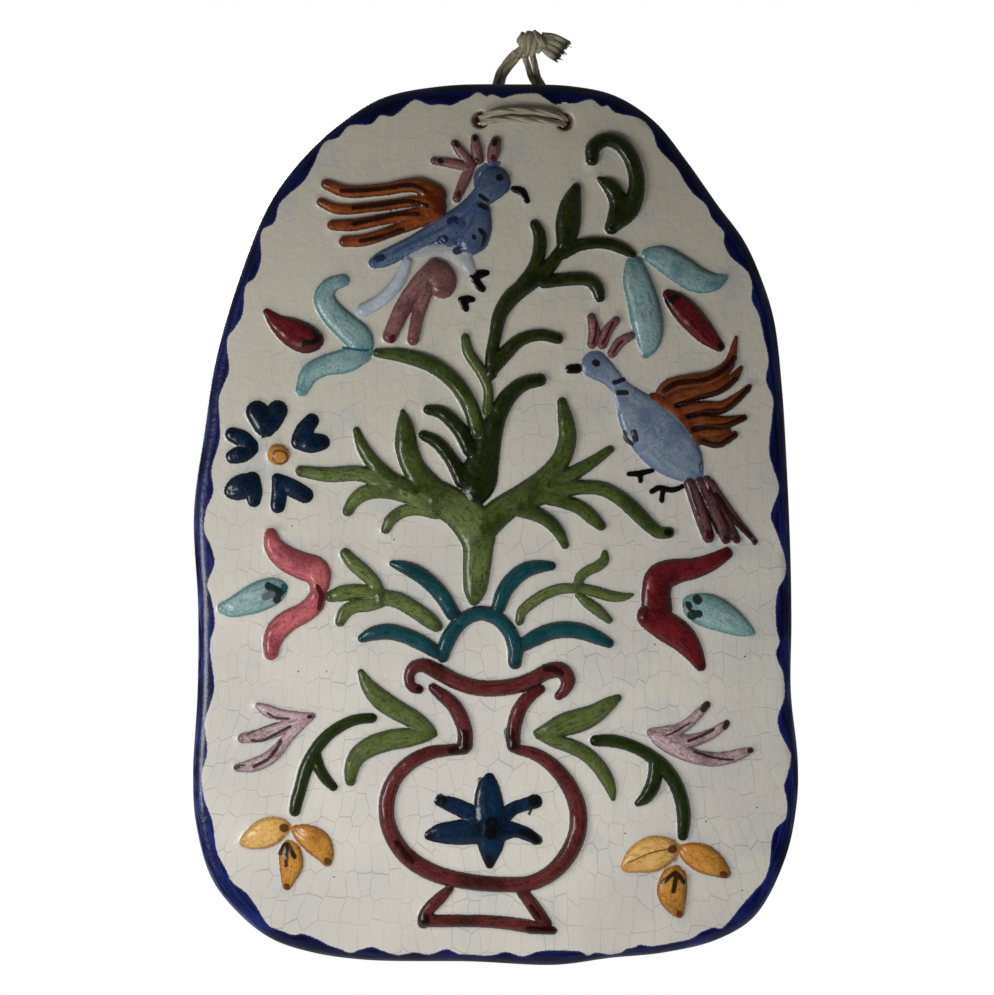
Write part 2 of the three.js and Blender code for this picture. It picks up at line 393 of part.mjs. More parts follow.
function coilGeometry(stations) {
  const sections = coilSections(stations);
  const feet = ARCH.length;
  const positions = [];
  for (const s of sections) {
    const vertex = (across, up) => positions.push(
      s.x - s.way.y * across * s.halfWidth, -SLAB_THICKNESS - up, s.z + s.way.x * across * s.halfWidth);
    for (const [across, up] of ARCH) {
      vertex(across, up === 0 ? -COIL_SINK : up * s.rise);
    }
  }
  const index = [];
  const quad = (a, b, c, d) => index.push(a, c, b, a, d, c);
  for (let i = 0; i < sections.length - 1; i += 1) {
    for (let k = 0; k < feet; k += 1) {
      const next = (k + 1) % feet;
      quad(i * feet + k, i * feet + next, (i + 1) * feet + next, (i + 1) * feet + k);
    }
  }
  const end = (sections.length - 1) * feet;
  for (let k = 1; k < feet - 1; k += 1) {
    index.push(0, k, k + 1);
    index.push(end, end + k + 1, end + k);
  }
  const geometry = new THREE.BufferGeometry();
  geometry.setAttribute("position", new THREE.Float32BufferAttribute(positions, 3));
  geometry.setIndex(index);
  return geometry;
}

function plaqueGeometry() {
  const coils = [
    LEFT_BIRD, RIGHT_BIRD, THISTLE, DARK_PLANT, TREE, TOP_PETALS, NAVY_FLOWER, SIDE_TULIPS, SPRIGS, FOUNTAIN,
    VASE, VASE_LEAVES, DROOPING_STEMS, TRUMPET_FLOWERS, CORNER_FLOWERS,
  ].flat();
  let plaque = solidFrom(slabGeometry());
  for (const coil of coils) {
    plaque = plaque.add(solidFrom(coilGeometry(coil)));
  }
  for (const hole of [LEFT_HOLE, RIGHT_HOLE]) {
    plaque = plaque.subtract(solidFrom(holeGeometry(hole)));
  }
  return geometryFrom(plaque);
}

// ---- the cord ----
function strandGeometry(route) {
  const curve = new THREE.CatmullRomCurve3(route.map((p) => new THREE.Vector3(...p)));
  const section = new THREE.Shape();
  for (let k = 0; k < CORD_SIDES; k += 1) {
    const angle = 2 * Math.PI * k / CORD_SIDES;
    const x = CORD_DIAMETER / 2 * Math.cos(angle);
    const y = CORD_DIAMETER / 2 * Math.sin(angle);
    if (k === 0) {
      section.moveTo(x, y);
    } else {
      section.lineTo(x, y);
    }
  }
  section.closePath();
  return new THREE.ExtrudeGeometry(section, { steps: CORD_STEPS, extrudePath: curve });
}

function knotGeometry() {
  const geometry = new THREE.SphereGeometry(1, ...KNOT_SEGMENTS);
  return geometry.scale(...KNOT_HALF_SIZE).translate(...KNOT_CENTRE);
}

function tailGeometry() {
  const shape = new THREE.Shape(TAIL_OUTLINE.map(([x, z]) => new THREE.Vector2(x, z)));
  const geometry = new THREE.ExtrudeGeometry(shape, {
    depth: TAIL_THICKNESS - 2 * TAIL_BEVEL,
    bevelEnabled: true,
    bevelThickness: TAIL_BEVEL,
    bevelSize: TAIL_BEVEL,
    bevelOffset: -TAIL_BEVEL,
    bevelSegments: 1,
  });
  const back = KNOT_CENTRE[1] + TAIL_THICKNESS / 2;
  return standUp(geometry.translate(0, 0, TAIL_BEVEL)).translate(0, back, 0);
}

// ---- the object ----
function piece(name, geometry, material) {
  const mesh = new THREE.Mesh(geometry, material);
  mesh.name = name;
  return mesh;
}

function glaze() {
  return new THREE.MeshStandardMaterial({ color: 0xc4bfb4, roughness: 0.25, metalness: 0 });
}

function twine() {
  return new THREE.MeshStandardMaterial({ color: 0xb5ac92, roughness: 0.9, metalness: 0 });
}

const wallPlaque = new THREE.Group();
wallPlaque.name = "wall_plaque";
wallPlaque.add(piece("plaque", plaqueGeometry(), glaze()));
wallPlaque.add(piece("upper_strand", strandGeometry(UPPER_STRAND), twine()));
wallPlaque.add(piece("lower_strand", strandGeometry(LOWER_STRAND), twine()));
wallPlaque.add(piece("knot", knotGeometry(), twine()));
wallPlaque.add(piece("tail", tailGeometry(), twine()));

export default wallPlaque;
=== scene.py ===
import math
import random

import bpy
import numpy as np
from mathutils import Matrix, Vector, kdtree, noise
from mathutils.geometry import delaunay_2d_cdt


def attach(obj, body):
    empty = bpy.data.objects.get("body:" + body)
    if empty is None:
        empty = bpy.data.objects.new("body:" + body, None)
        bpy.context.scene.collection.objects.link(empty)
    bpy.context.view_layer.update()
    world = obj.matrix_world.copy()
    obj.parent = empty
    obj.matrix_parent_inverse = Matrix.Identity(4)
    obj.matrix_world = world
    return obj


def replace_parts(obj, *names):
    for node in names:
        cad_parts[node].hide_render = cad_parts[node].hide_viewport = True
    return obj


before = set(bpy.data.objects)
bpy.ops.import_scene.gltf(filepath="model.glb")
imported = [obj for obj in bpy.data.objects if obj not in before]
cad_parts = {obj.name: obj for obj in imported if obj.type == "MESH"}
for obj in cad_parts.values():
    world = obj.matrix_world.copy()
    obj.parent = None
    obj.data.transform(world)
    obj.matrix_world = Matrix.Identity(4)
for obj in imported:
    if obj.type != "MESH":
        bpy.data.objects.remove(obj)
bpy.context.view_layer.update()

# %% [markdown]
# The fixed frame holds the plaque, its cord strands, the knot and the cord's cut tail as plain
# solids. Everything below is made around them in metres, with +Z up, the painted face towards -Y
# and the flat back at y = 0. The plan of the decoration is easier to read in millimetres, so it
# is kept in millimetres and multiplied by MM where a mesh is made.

MM = 0.001
scene = bpy.context.scene

# %% [markdown]
# The plaque is seen square on, as it hangs. A long lens keeps the flat face free of perspective,
# and the whole plaque with its cord fills the height of the view.

# %% Camera
FACE_Y = -10.0
VIEW_HEIGHT = 331.67
VIEW_DISTANCE = 1100.0
camera = bpy.data.objects.new("camera", bpy.data.cameras.new("camera"))
camera.data.sensor_width = 36
camera.data.lens = camera.data.sensor_width * VIEW_DISTANCE / VIEW_HEIGHT
camera.location = Vector((0.33, FACE_Y - VIEW_DISTANCE, 9.0)) * MM
camera.rotation_euler = (math.pi / 2, 0, 0)
scene.collection.objects.link(camera)
scene.camera = camera
print("lens, mm:", round(camera.data.lens, 1))

# %% [markdown]
# Colours are chosen as a painter would name them, from 0 to 255 for each of red, green and blue,
# and turned into the linear values that light is computed with.

# %% Colours and a short way to wire a material
def linear(red, green, blue):
    """A displayed colour as the linear red, green, blue and alpha that a shader takes."""
    return tuple((v / 255) ** 2.2 for v in (red, green, blue)) + (1.0,)


class Recipe:
    """A material whose nodes are added and wired one line at a time."""

    def __init__(self, name):
        self.material = bpy.data.materials.new(name)
        self.material.use_nodes = True
        self.tree = self.material.node_tree
        self.shader = self.tree.nodes["Principled BSDF"]

    def put(self, socket, value):
        """Gives a socket a constant, or joins another node's output to it."""
        if isinstance(value, bpy.types.NodeSocket):
            self.tree.links.new(value, socket)
        else:
            socket.default_value = value

    def node(self, kind, output=0, settings=None, **inputs):
        """Adds a node, fills its inputs by name, or by number as in i0, and returns one output."""
        made = self.tree.nodes.new("ShaderNode" + kind)
        for key, value in (settings or {}).items():
            setattr(made, key, value)
        for key, value in inputs.items():
            place = int(key[1:]) if key[0] == "i" and key[1:].isdigit() else key.replace("_", " ")
            self.put(made.inputs[place], value)
        return made.outputs[output]

    def attribute(self, name, output="Fac"):
        return self.node("Attribute", output, {"attribute_name": name})

    def math(self, operation, a, b=0.0):
        return self.node("Math", settings={"operation": operation}, i0=a, i1=b)

    def ramp(self, value, low, high, start=0.0, end=1.0):
        """Turns value smoothly from start to end as it goes from low to high."""
        return self.node("MapRange", settings={"interpolation_type": "SMOOTHSTEP"},
                         Value=value, From_Min=low, From_Max=high, To_Min=start, To_Max=end)

    def mix(self, share, a, b):
        """Colour a where share is 0 and colour b where it is 1."""
        return self.node("Mix", 2, {"data_type": "RGBA"}, i0=share, i6=a, i7=b)

    def scaled(self, vector, x, y, z):
        return self.node("VectorMath", settings={"operation": "MULTIPLY"}, i0=vector, i1=(x, y, z))

    def noise(self, vector, scale, detail=2.0, roughness=0.5):
        return self.node("TexNoise", Vector=vector, Scale=scale, Detail=detail,
                         Roughness=roughness)

    def bump(self, height, distance, strength=1.0, under=None):
        extra = {"Normal": under} if under is not None else {}
        return self.node("Bump", Height=height, Distance=distance, Strength=strength, **extra)

    def finish(self, **inputs):
        for key, value in inputs.items():
            self.put(self.shader.inputs[key.replace("_", " ")], value)
        return self.material


def add_mesh(name, points, faces, materials, rows=None):
    """A smooth mesh piece on the root body. points are in mm; rows holds values per point."""
    mesh = bpy.data.meshes.new(name)
    mesh.from_pydata((np.asarray(points, float) * MM).tolist(), [], faces)
    mesh.shade_smooth()
    for key, values in (rows or {}).items():
        values = np.asarray(values, np.float32)
        kind, field = {1: ("FLOAT", "value"), 3: ("FLOAT_VECTOR", "vector"),
                       4: ("FLOAT_COLOR", "color")}[values.shape[1] if values.ndim > 1 else 1]
        mesh.attributes.new(key, kind, "POINT").data.foreach_set(field, values.ravel())
    for material in materials:
        mesh.materials.append(material)
    piece = bpy.data.objects.new(name, mesh)
    scene.collection.objects.link(piece)
    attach(piece, "root")
    print(name, "-", len(mesh.polygons), "faces")
    return piece

# %% [markdown]
# The cord is two lengths of soft natural yarn, three plies laid together with a slow twist. Each
# length passes in at one hole, across the back and up to the knot, so the plaque hangs from the
# pair. Undyed hemp or cotton is dull, a little green, and shows its fibres as fine lines.

# %% Yarn colour
def twine_material():
    """Dull undyed fibre, streaked along the yarn, and darkened to brown where shade is painted on.
    """
    recipe = Recipe("natural twine")
    fibre = recipe.attribute("fibre", "Vector")
    streak = recipe.noise(recipe.scaled(fibre, 0.22, 3.0, 5.0), 1.0, 4.0, 0.65)
    blotch = recipe.noise(recipe.scaled(fibre, 0.25, 0.3, 5.0), 1.0, 2.0)
    tone = recipe.mix(recipe.ramp(streak, 0.3, 0.72), linear(136, 127, 100), linear(232, 225, 198))
    tone = recipe.mix(recipe.ramp(blotch, 0.45, 0.8, 0.0, 0.35), tone, linear(146, 136, 106))
    # Painted shade: the knot's core between its wraps and the tail's cut ends turn dark brown.
    tone = recipe.mix(recipe.attribute("painted_shade"), tone, linear(62, 48, 34))
    normal = recipe.bump(streak, 0.00022, 0.9)
    return recipe.finish(Base_Color=tone, Roughness=0.88, Normal=normal,
                         Specular_IOR_Level=0.25, Sheen_Weight=0.25, Sheen_Roughness=0.5)


TWINE = twine_material()

# %% [markdown]
# A yarn follows a smooth route through the points that the plan gives. The plies turn round that
# line, and short stray fibres stand out of it, which is what makes the cord look soft.

# %% Routes and yarn
def smooth_route(points, step):
    """Points about step apart on a smooth curve through all of the given points."""
    p = np.array(points, float)
    p = np.vstack([2 * p[0] - p[1], p, 2 * p[-1] - p[-2]])
    found = []
    for a, b, c, d in zip(p, p[1:], p[2:], p[3:]):
        t1, t2, t3 = np.cumsum([math.sqrt(np.linalg.norm(v)) for v in (b - a, c - b, d - c)])
        count = max(1, math.ceil(np.linalg.norm(c - b) / step))
        t = t1 + (t2 - t1) * (np.arange(count) / count)[:, None]
        ab = ((t1 - t) * a + t * b) / t1
        bc = ((t2 - t) * b + (t - t1) * c) / (t2 - t1)
        cd = ((t3 - t) * c + (t - t2) * d) / (t3 - t2)
        abc = ((t2 - t) * ab + t * bc) / t2
        bcd = ((t3 - t) * bc + (t - t1) * cd) / (t3 - t1)
        found.append(((t2 - t) * abc + (t - t1) * bcd) / (t2 - t1))
    return np.vstack(found + [p[-2:-1]])


def headings(line):
    """The direction of a line at each of its points, one long."""
    along = np.gradient(line, axis=0)
    return along / np.linalg.norm(along, axis=1)[:, None]


def travelled(line):
    """The length of a line from its start to each of its points."""
    return np.r_[0, np.cumsum(np.linalg.norm(np.diff(line, axis=0), axis=1))]


def tube(line, radius, sides):
    """Rings of points round a line, closed at both ends. radius is a number or one per ring."""
    radius = np.broadcast_to(radius, len(line))
    side = np.array((0.0, 1.0, 0.0))
    points = []
    for centre, along, r in zip(line, headings(line), radius):
        side = side - along * side.dot(along)
        side /= np.linalg.norm(side)
        other = np.cross(along, side)
        for k in range(sides):
            turn = 2 * math.pi * k / sides
            points.append(centre + r * (side * math.cos(turn) + other * math.sin(turn)))
    last = len(points)
    points += [line[0], line[-1]]
    faces = []
    for k in range(sides):
        m = (k + 1) % sides
        faces += [(a + k, a + m, a + m + sides, a + k + sides)
                  for a in range(0, last - sides, sides)]
        faces += [(last, m, k), (last + 1, last - sides + k, last - sides + m)]
    return points, faces


PLIES, PLY_SIDES = 3, 9
PLY_PITCH = 24.0
PLY_SHARE, PLY_OFFSET = 0.6, 0.42
HAIR_RADII, HAIR_SIDES = (0.06, 0.05, 0.025), 3


class Bundle:
    """Gathers many tubes into one piece, with each fibre's own place for the material."""

    def __init__(self):
        self.points, self.faces, self.fibre, self.painted_shade = [], [], [], []

    def add(self, line, radius, sides, painted_shade=0.0, seed=0.0):
        """One tube. Its painted shade, from 0 to 1, is one number or one per point of its line."""
        points, faces = tube(line, radius, sides)
        base = len(self.points)
        self.points += points
        self.faces += [tuple(base + v for v in face) for face in faces]
        steps = travelled(line)
        painted_shade = np.broadcast_to(painted_shade, len(line))
        for ring, shade in zip(steps, painted_shade):
            self.fibre += [(ring, abs(2 * k / sides - 1) * 3, seed) for k in range(sides)]
            self.painted_shade += [shade] * sides
        self.fibre += [(steps[0], 0, seed), (steps[-1], 0, seed)]
        self.painted_shade += [painted_shade[0], painted_shade[-1]]

    def yarn(self, line, radius, turn=0.0, seed=0.0):
        """Three plies that turn slowly round a line."""
        tangent, steps = headings(line), travelled(line)
        side, sides_at = np.array((0.1, 1.0, 0.2)), []
        for along in tangent:
            side = side - along * side.dot(along)
            side /= np.linalg.norm(side)
            sides_at.append(side)
        side = np.array(sides_at)
        other = np.cross(tangent, side)
        for k in range(PLIES):
            angle = (turn + k / PLIES + steps / PLY_PITCH) * 2 * math.pi
            wander = 1 + 0.1 * np.sin(steps * 1.1 + k * 2 + seed)
            offset = side * np.cos(angle)[:, None] + other * np.sin(angle)[:, None]
            self.add(line + offset * (PLY_OFFSET * radius * wander)[:, None],
                     radius * PLY_SHARE, PLY_SIDES, seed=seed + k * 1.7)

    def strays(self, line, radius, count, longest, chance):
        """Fine loose hairs that stand out of a yarn."""
        for _ in range(count):
            at = chance.randrange(3, len(line) - 4)
            out = Vector([chance.gauss(0, 1) for _ in range(3)]).normalized()
            along = Vector(line[at + 1] - line[at]).normalized()
            out = (out - along * out.dot(along)).normalized()
            reach = longest * chance.uniform(0.3, 1)
            hair = [np.array(Vector(line[at]) + out * (radius * 0.8 + reach * t * 0.5)
                             + along * reach * (t + 0.3 * t * t)) for t in (0, 0.4, 0.8)]
            self.add(np.array(hair), HAIR_RADII, HAIR_SIDES, seed=chance.uniform(0, 9))

    def piece(self, name, node):
        made = add_mesh(name, self.points, self.faces, [TWINE],
                        {"fibre": self.fibre, "painted_shade": self.painted_shade})
        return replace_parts(made, node)

# %% [markdown]
# Both routes start under the knot on the left, go down behind the plaque to the left hole, run
# side by side across the front, and come back through the right hole to the knot. Between the
# holes they hang a little slack and press lightly together.

# %% The two strands
YARN_RADIUS, YARN_STEP = 1.15, 0.4
UPPER_ROUTE = [
    (6.6, -1.4, 158.5), (4, -0.6, 156.1), (1.4, 0.2, 152.5), (-0.3, 0.8, 148.1),
    (-2.3, 1.15, 143.2), (-4.4, 1.15, 139.2), (-5.5, 0.7, 137), (-5.9, -1.2, 135.7),
    (-5.6, -4.5, 135.8), (-4.8, -7.6, 136), (-4.2, -9.7, 136), (-2.7, -11.2, 136.4),
    (0, -11.8, 137.2), (5, -11.8, 137.7), (11, -11.8, 137.6), (17.2, -11.7, 136.9),
    (20.5, -11.3, 136.2), (22.2, -9.8, 135.6), (22.9, -7.4, 135.3), (23.4, -4.4, 135.2),
    (23.5, -1.2, 135.2), (22.9, 0.9, 136.5), (21.2, 1.15, 139.3), (18.4, 1.15, 143.3),
    (15.5, 0.9, 147.8), (13.6, 0.3, 152.2), (12.5, -0.8, 156.4), (12.4, -1.2, 157.3)]
LOWER_ROUTE = [
    (7.5, -1.4, 156.9), (5.3, -0.6, 154.7), (3, 0.2, 151.5), (1.5, 0.8, 147.5),
    (-0.5, 1.15, 142.5), (-2.8, 1.15, 138.2), (-3.8, 0.7, 136.2), (-4.1, -1.2, 135.1),
    (-4.2, -4.5, 134.4), (-4.6, -7.6, 134.1), (-4, -9.7, 134.1), (-2.5, -11.2, 134.2),
    (0.4, -11.7, 134.7), (5, -11.8, 134.9), (11, -11.8, 134.6), (16.8, -11.7, 133.9),
    (19.9, -11.3, 133.5), (21.6, -9.8, 133.8), (22.5, -7.4, 133.5), (22.4, -4.4, 133.6),
    (22, -1.2, 134), (21.3, 0.9, 135.5), (19.6, 1.15, 138.3), (16.8, 1.15, 142.3),
    (13.8, 0.9, 147), (11.6, 0.3, 151.4), (10, -0.8, 156.2), (9.9, -1.2, 157.1)]


def strand(name, node, route, turn, seed):
    """One yarn of the pair, with the length that its route has."""
    line = smooth_route(route, YARN_STEP)
    bundle = Bundle()
    bundle.yarn(line, YARN_RADIUS, turn=turn, seed=seed)
    bundle.strays(line, YARN_RADIUS, 70, 1.6, random.Random(seed))
    made = bundle.piece(name, node)
    length = travelled(line)[-1]
    print(name, "is", round(length, 1), "mm from knot to knot")
    return made, line * MM, length * MM


upper, upper_line, upper_length = strand("cord_upper", "upper_strand", UPPER_ROUTE, 0.0, 3)
lower, lower_line, lower_length = strand("cord_lower", "lower_strand", LOWER_ROUTE, 0.4, 8)

# %% [markdown]
# The two lengths are tied together in one overhand knot. Pulled tight, it is a fat little ball of
# wraps that lie side by side, with one turn that crosses them where the ends come out.

# %% Knot
KNOT_CENTRE = np.array((12.0, -1.7, 162.0))
KNOT_AXIS = Vector((0.93, -0.12, -0.3)).normalized()
KNOT_WRAPS = ((-3.6, 1.4, 1.1), (-2.0, 2.35, 1.9), (-0.2, 2.75, 2.1), (1.6, 2.7, 2.1),
              (3.2, 2.0, 1.7))


def loop(centre, axis, radius, depth, wobble=0.25, phase=0.0):
    """A closed turn of yarn round an axis, flattened in depth so that it clears the wall."""
    first = axis.cross(Vector((0, 1, 0))).normalized()
    second = axis.cross(first)
    turns = np.linspace(0, 2 * math.pi * 1.03, 64)
    line = [np.array(first) * radius * math.cos(t) + np.array(second) * depth * math.sin(t)
            + np.array(axis) * wobble * math.sin(t * 2 + phase) for t in turns]
    return np.array(line) + centre


knot_bundle = Bundle()
for k, (place, radius, depth) in enumerate(KNOT_WRAPS):
    line = loop(KNOT_CENTRE + np.array(KNOT_AXIS) * place, KNOT_AXIS, radius, depth, phase=k)
    knot_bundle.yarn(line, YARN_RADIUS, turn=k * 0.3, seed=20 + k)
crossing = Vector((0.8, 0.1, 0.6)).normalized()
line = loop(KNOT_CENTRE + np.array((2.7, -0.6, 0.3)), crossing, 3.0, 2.1, 0.3, 1.0)
knot_bundle.yarn(line, YARN_RADIUS * 0.95, turn=0.2, seed=31)
for route in (UPPER_ROUTE, LOWER_ROUTE):
    for end, toward in ((route[0], (9.4, -1.7, 160.6)), (route[-1], (11.6, -1.7, 160.4))):
        line = smooth_route([end, np.add(end, toward) / 2, toward], YARN_STEP)
        knot_bundle.yarn(line, YARN_RADIUS * 0.96, turn=0.1, seed=40 + end[0])
core = smooth_route([KNOT_CENTRE - np.array(KNOT_AXIS) * 3, KNOT_CENTRE,
                     KNOT_CENTRE + np.array(KNOT_AXIS) * 3.2], 0.8)
# The core shows between the wraps and is half darkened there as painted shade.
knot_bundle.add(core, 2.3, 10, 0.5, 50)
knot_bundle.strays(line, YARN_RADIUS, 14, 1.5, random.Random(5))
knot = knot_bundle.piece("cord_knot", "knot")

# %% [markdown]
# The four cut ends leave the knot as one stub and have come apart. They flare like a worn brush,
# and the cut is darkened to brown as painted shade, most on its lower side.

# %% Cut tail
TAIL_ROOT = np.array((15.4, -1.8, 162.3))
TAIL_TOP = np.array((25.2, -1.9, 161.4))
TAIL_FOOT = np.array((20.6, -2.2, 155.3))
TAIL_FIBRES = 190


def tail_line(share, depth, reach, spread, chance):
    """One fibre from the knot to its own place along the cut."""
    end = TAIL_TOP + (TAIL_FOOT - TAIL_TOP) * share
    end = TAIL_ROOT + (end - TAIL_ROOT) * reach + np.array((0, depth, 0))
    bulge = math.sin(share * math.pi) * 1.1
    start = TAIL_ROOT + np.array((0, depth * 0.7, 1.9 - 3.6 * share))
    middle = start + (end - start) * 0.5 + np.array((0.5 * bulge, depth * 0.3, 1.0 - 1.7 * share))
    shake = np.array([chance.gauss(0, spread) for _ in range(3)])
    return smooth_route([start, middle + shake, end + shake * 1.4], 0.9)


# Every fibre darkens towards its cut end as painted shade, the lower fibres most.
tail_bundle = Bundle()
chance = random.Random(14)
for k, share in enumerate((0.08, 0.36, 0.64, 0.92)):
    for depth in (-1.0, 0.9):
        line = tail_line(share, depth, 0.88, 0.05, chance)
        far = np.linspace(0, 1, len(line))
        tail_bundle.add(line, 1.35 - 0.1 * far, 9, np.clip(far * 3 - 2.0, 0, 0.9), 60 + k)
for k in range(TAIL_FIBRES):
    share, turn = chance.uniform(-0.03, 1.03), chance.uniform(0, 2 * math.pi)
    reach = chance.uniform(0.88, 0.98) if k % 24 else chance.uniform(1.02, 1.12)
    line = tail_line(share, 2.1 * math.cos(turn) * chance.uniform(0.6, 1), reach, 0.16, chance)
    far = np.linspace(0, 1, len(line))
    painted_shade = np.clip((far - chance.uniform(0.7, 0.9) + 0.2 * share) * 5, 0, 1) * (0.5 + 0.5 * share)
    thick = chance.uniform(0.16, 0.34)
    tail_bundle.add(line, thick * (1 - 0.5 * far**3), 5, painted_shade, chance.uniform(70, 90))
tail = tail_bundle.piece("cord_tail", "tail")

# %% [markdown]
# Both strands keep their drawn route from knot to knot, and the knot and its tail stay where they
# are drawn, on the same body as the plaque.

# %% [markdown]
# The slab is rolled out 10 mm thick and cut freehand, so its outline is a little uneven: narrow
# and round at the top, nearly straight down the sides, with two soft lower corners. A needle or a
# reed makes the two cord holes while the clay is wet.

# %% Outline, holes and border
THICKNESS = 10.0
EDGE_ROUND, EDGE_DROP = 4.2, 3.6
HOLES = ((-5.2, 135.0), (23.0, 134.3))
HOLE_RADIUS, HOLE_SIDES = 2.9, 40
OUTLINE = [
    (6, 147.2), (26, 146.5), (40, 143.3), (53, 134.8), (64, 121.2), (74, 107), (83, 94.8),
    (89, 81.5), (93, 68.2), (95.6, 46), (97.2, 20), (98.4, -8), (98.8, -32), (98.6, -56),
    (100.9, -79), (100.6, -93), (96.7, -111.8), (86.5, -131), (74, -138.8), (56, -143.2),
    (38, -145), (20, -147.3), (-8, -146.2), (-44, -145.6), (-62, -143), (-75, -138.6),
    (-85.5, -130.6), (-95, -118.5), (-100.3, -100), (-101.3, -84), (-99.8, -56), (-99.6, -28),
    (-101, 4), (-97.4, 31.5), (-93.8, 55), (-86.4, 81), (-76, 107), (-65.5, 121.6), (-52, 134.2),
    (-38, 142.6), (-18, 146.6),
]
BORDER_INNER_EDGE = [
    (-52.5, 129), (-49, 132.8), (-41.5, 133.5), (-38.5, 136.3), (-34.5, 136), (-30, 139.5),
    (-27, 141.5), (-22, 139.8), (-18.5, 140), (-15, 139.7), (-12, 141), (-9, 142.2), (-6, 144),
    (-3, 142.6), (-1.5, 143.3), (2.5, 142), (5, 142.9), (9, 143.5), (13.8, 143.5), (16, 142.2),
    (18.5, 140.5), (20.3, 139.8), (25, 139.9), (28, 140.7), (31.8, 141.6), (35.3, 139.2),
    (37, 139.6), (39.5, 137.4), (48.5, 135), (52, 131), (54, 125.5), (60, 119), (63, 114),
    (66, 110), (70, 106.5), (72, 102), (76, 97.3), (75.9, 94), (78, 89.5), (84, 84), (85.3, 80),
    (85.2, 75), (87.5, 70), (89.3, 62), (90.8, 55), (90, 48), (92.3, 42), (92, 36), (91, 24),
    (93, 17), (94.3, 12), (92.3, 6), (91.5, 2.5), (92.3, 0), (94, -4), (95, -7), (96, -10),
    (96.8, -15), (96, -18), (94, -21.5), (93.2, -28), (93.5, -35), (94.5, -39), (93.3, -42.5),
    (94, -46), (95.5, -49), (96.2, -54), (96, -58), (94.5, -62), (93.8, -65), (94.5, -69),
    (96.5, -73), (98.3, -77), (97.2, -83), (96, -87), (97, -93), (96.5, -98), (93.5, -101),
    (92, -104.5), (91, -114), (89, -119), (86.5, -121.7), (84, -124.5), (81, -128), (78, -131.8),
    (75, -134.6), (72.5, -134.3), (70.5, -135), (68, -136), (65.5, -137.8), (60, -139.2),
    (51, -140.5), (48, -140), (46, -141), (43.5, -141.4), (42, -142.6), (38, -143.4), (33, -142.7),
    (30.5, -143.7), (28.7, -142.5), (24, -142), (21, -141.9), (14, -142.3), (9, -143.9),
    (3, -142.4), (0, -143.3), (-3, -143.7), (-9, -143.3), (-12.5, -143.1), (-16.5, -141.5),
    (-20, -142.7), (-22.5, -143.4), (-27, -142.6), (-32, -143.5), (-34.5, -143.2), (-38.5, -141.7),
    (-41, -140.8), (-45.5, -141.7), (-48.5, -142.8), (-52, -141.5), (-55.5, -140.3), (-60, -138),
    (-64.5, -136.4), (-67.5, -136.8), (-72, -135.2), (-75.5, -133.8), (-80, -127.2), (-83, -123),
    (-88, -119), (-90, -115), (-93, -109), (-94.5, -99), (-97.3, -91), (-98, -83), (-96.2, -76),
    (-97, -66), (-94.6, -58), (-93.8, -54), (-95.3, -40), (-93.7, -33), (-95, -24), (-96.2, -20),
    (-93.8, -13), (-94.7, -8), (-97.3, -1.5), (-96.5, 5), (-94.2, 11), (-94.8, 18), (-92, 29),
    (-92.3, 42), (-91, 46), (-89, 51), (-89.5, 62), (-87, 65.5), (-84.5, 70), (-83.2, 80),
    (-80.5, 82), (-78.3, 88), (-78, 98), (-74, 100.5), (-72, 107), (-64, 114.5), (-61, 119.5),
    (-57, 127.5),
]


def closed_route(points, step):
    """A smooth closed line through the points, without its last point repeated."""
    p = [tuple(v) for v in points]
    line = smooth_route([p[-1]] + p + p[:2], step)
    first = np.argmin(np.linalg.norm(line - p[0], axis=1))
    last = len(line) - 1 - np.argmin(np.linalg.norm(line[::-1] - p[0], axis=1))
    return line[first:last]


def to_holes(points):
    """Each plan point's distance to the middle of the nearer hole."""
    return np.min([np.hypot(*(points - hole).T) for hole in HOLES], axis=0)


outline = closed_route(OUTLINE, 1.25)
border = closed_route(BORDER_INNER_EDGE, 0.9)
print("outline", np.ptp(outline, axis=0).round(1), "mm,", len(outline), "points")

# %% [markdown]
# Every line of the picture is a coil of clay. A coil is a list of places on the face, each with
# its distance right of the middle, its height and the coil's width there, all in millimetres.
# Glaze names say the colour where the glaze is thin, on a coil's crest, and the darker colour of
# its sides, partly glaze pooled beside it and partly painted shade. Painted lines are brushed on
# top of the coloured glaze before firing.

# %% Glazes, coils and brush lines
# Each glaze: its crest colour, then the darker colour of pooled glaze and painted shade on the
# sides.
GLAZES = {
    "amber": ((160, 84, 36), (64, 24, 8)),
    "slate": ((108, 126, 150), (48, 68, 102)),
    "pale slate": ((204, 204, 198), (164, 172, 178)),
    "dove": ((148, 162, 176), (82, 102, 134)),
    "ice": ((210, 218, 226), (166, 182, 196)),
    "mauve": ((160, 116, 116), (82, 46, 46)),
    "plum mauve": ((120, 82, 86), (46, 22, 26)),
    "soot": ((18, 15, 14), (7, 6, 5)),
    "straw": ((140, 74, 36), (56, 22, 8)),
    "bottle": ((50, 60, 22), (8, 15, 4)),
    "fern": ((100, 112, 66), (52, 64, 28)),
    "forest": ((42, 53, 22), (16, 25, 5)),
    "moss": ((112, 126, 72), (30, 40, 11)),
    "olive": ((84, 98, 48), (30, 40, 11)),
    "duck egg": ((162, 190, 188), (62, 116, 120)),
    "crimson": ((118, 36, 42), (50, 6, 10)),
    "navy": ((16, 46, 72), (3, 7, 15)),
    "yellow": ((242, 178, 94), (170, 108, 46)),
    "rose": ((208, 114, 118), (106, 34, 42)),
    "teal": ((27, 80, 84), (4, 38, 42)),
    "maroon": ((104, 48, 47), (12, 3, 3)),
    "leaf": ((100, 112, 62), (34, 46, 14)),
    "pine": ((42, 55, 21), (12, 22, 5)),
    "pink": ((208, 182, 186), (84, 52, 60)),
    "honey": ((246, 198, 118), (162, 110, 46)),
    "orange": ((224, 158, 72), (118, 72, 20)),
}
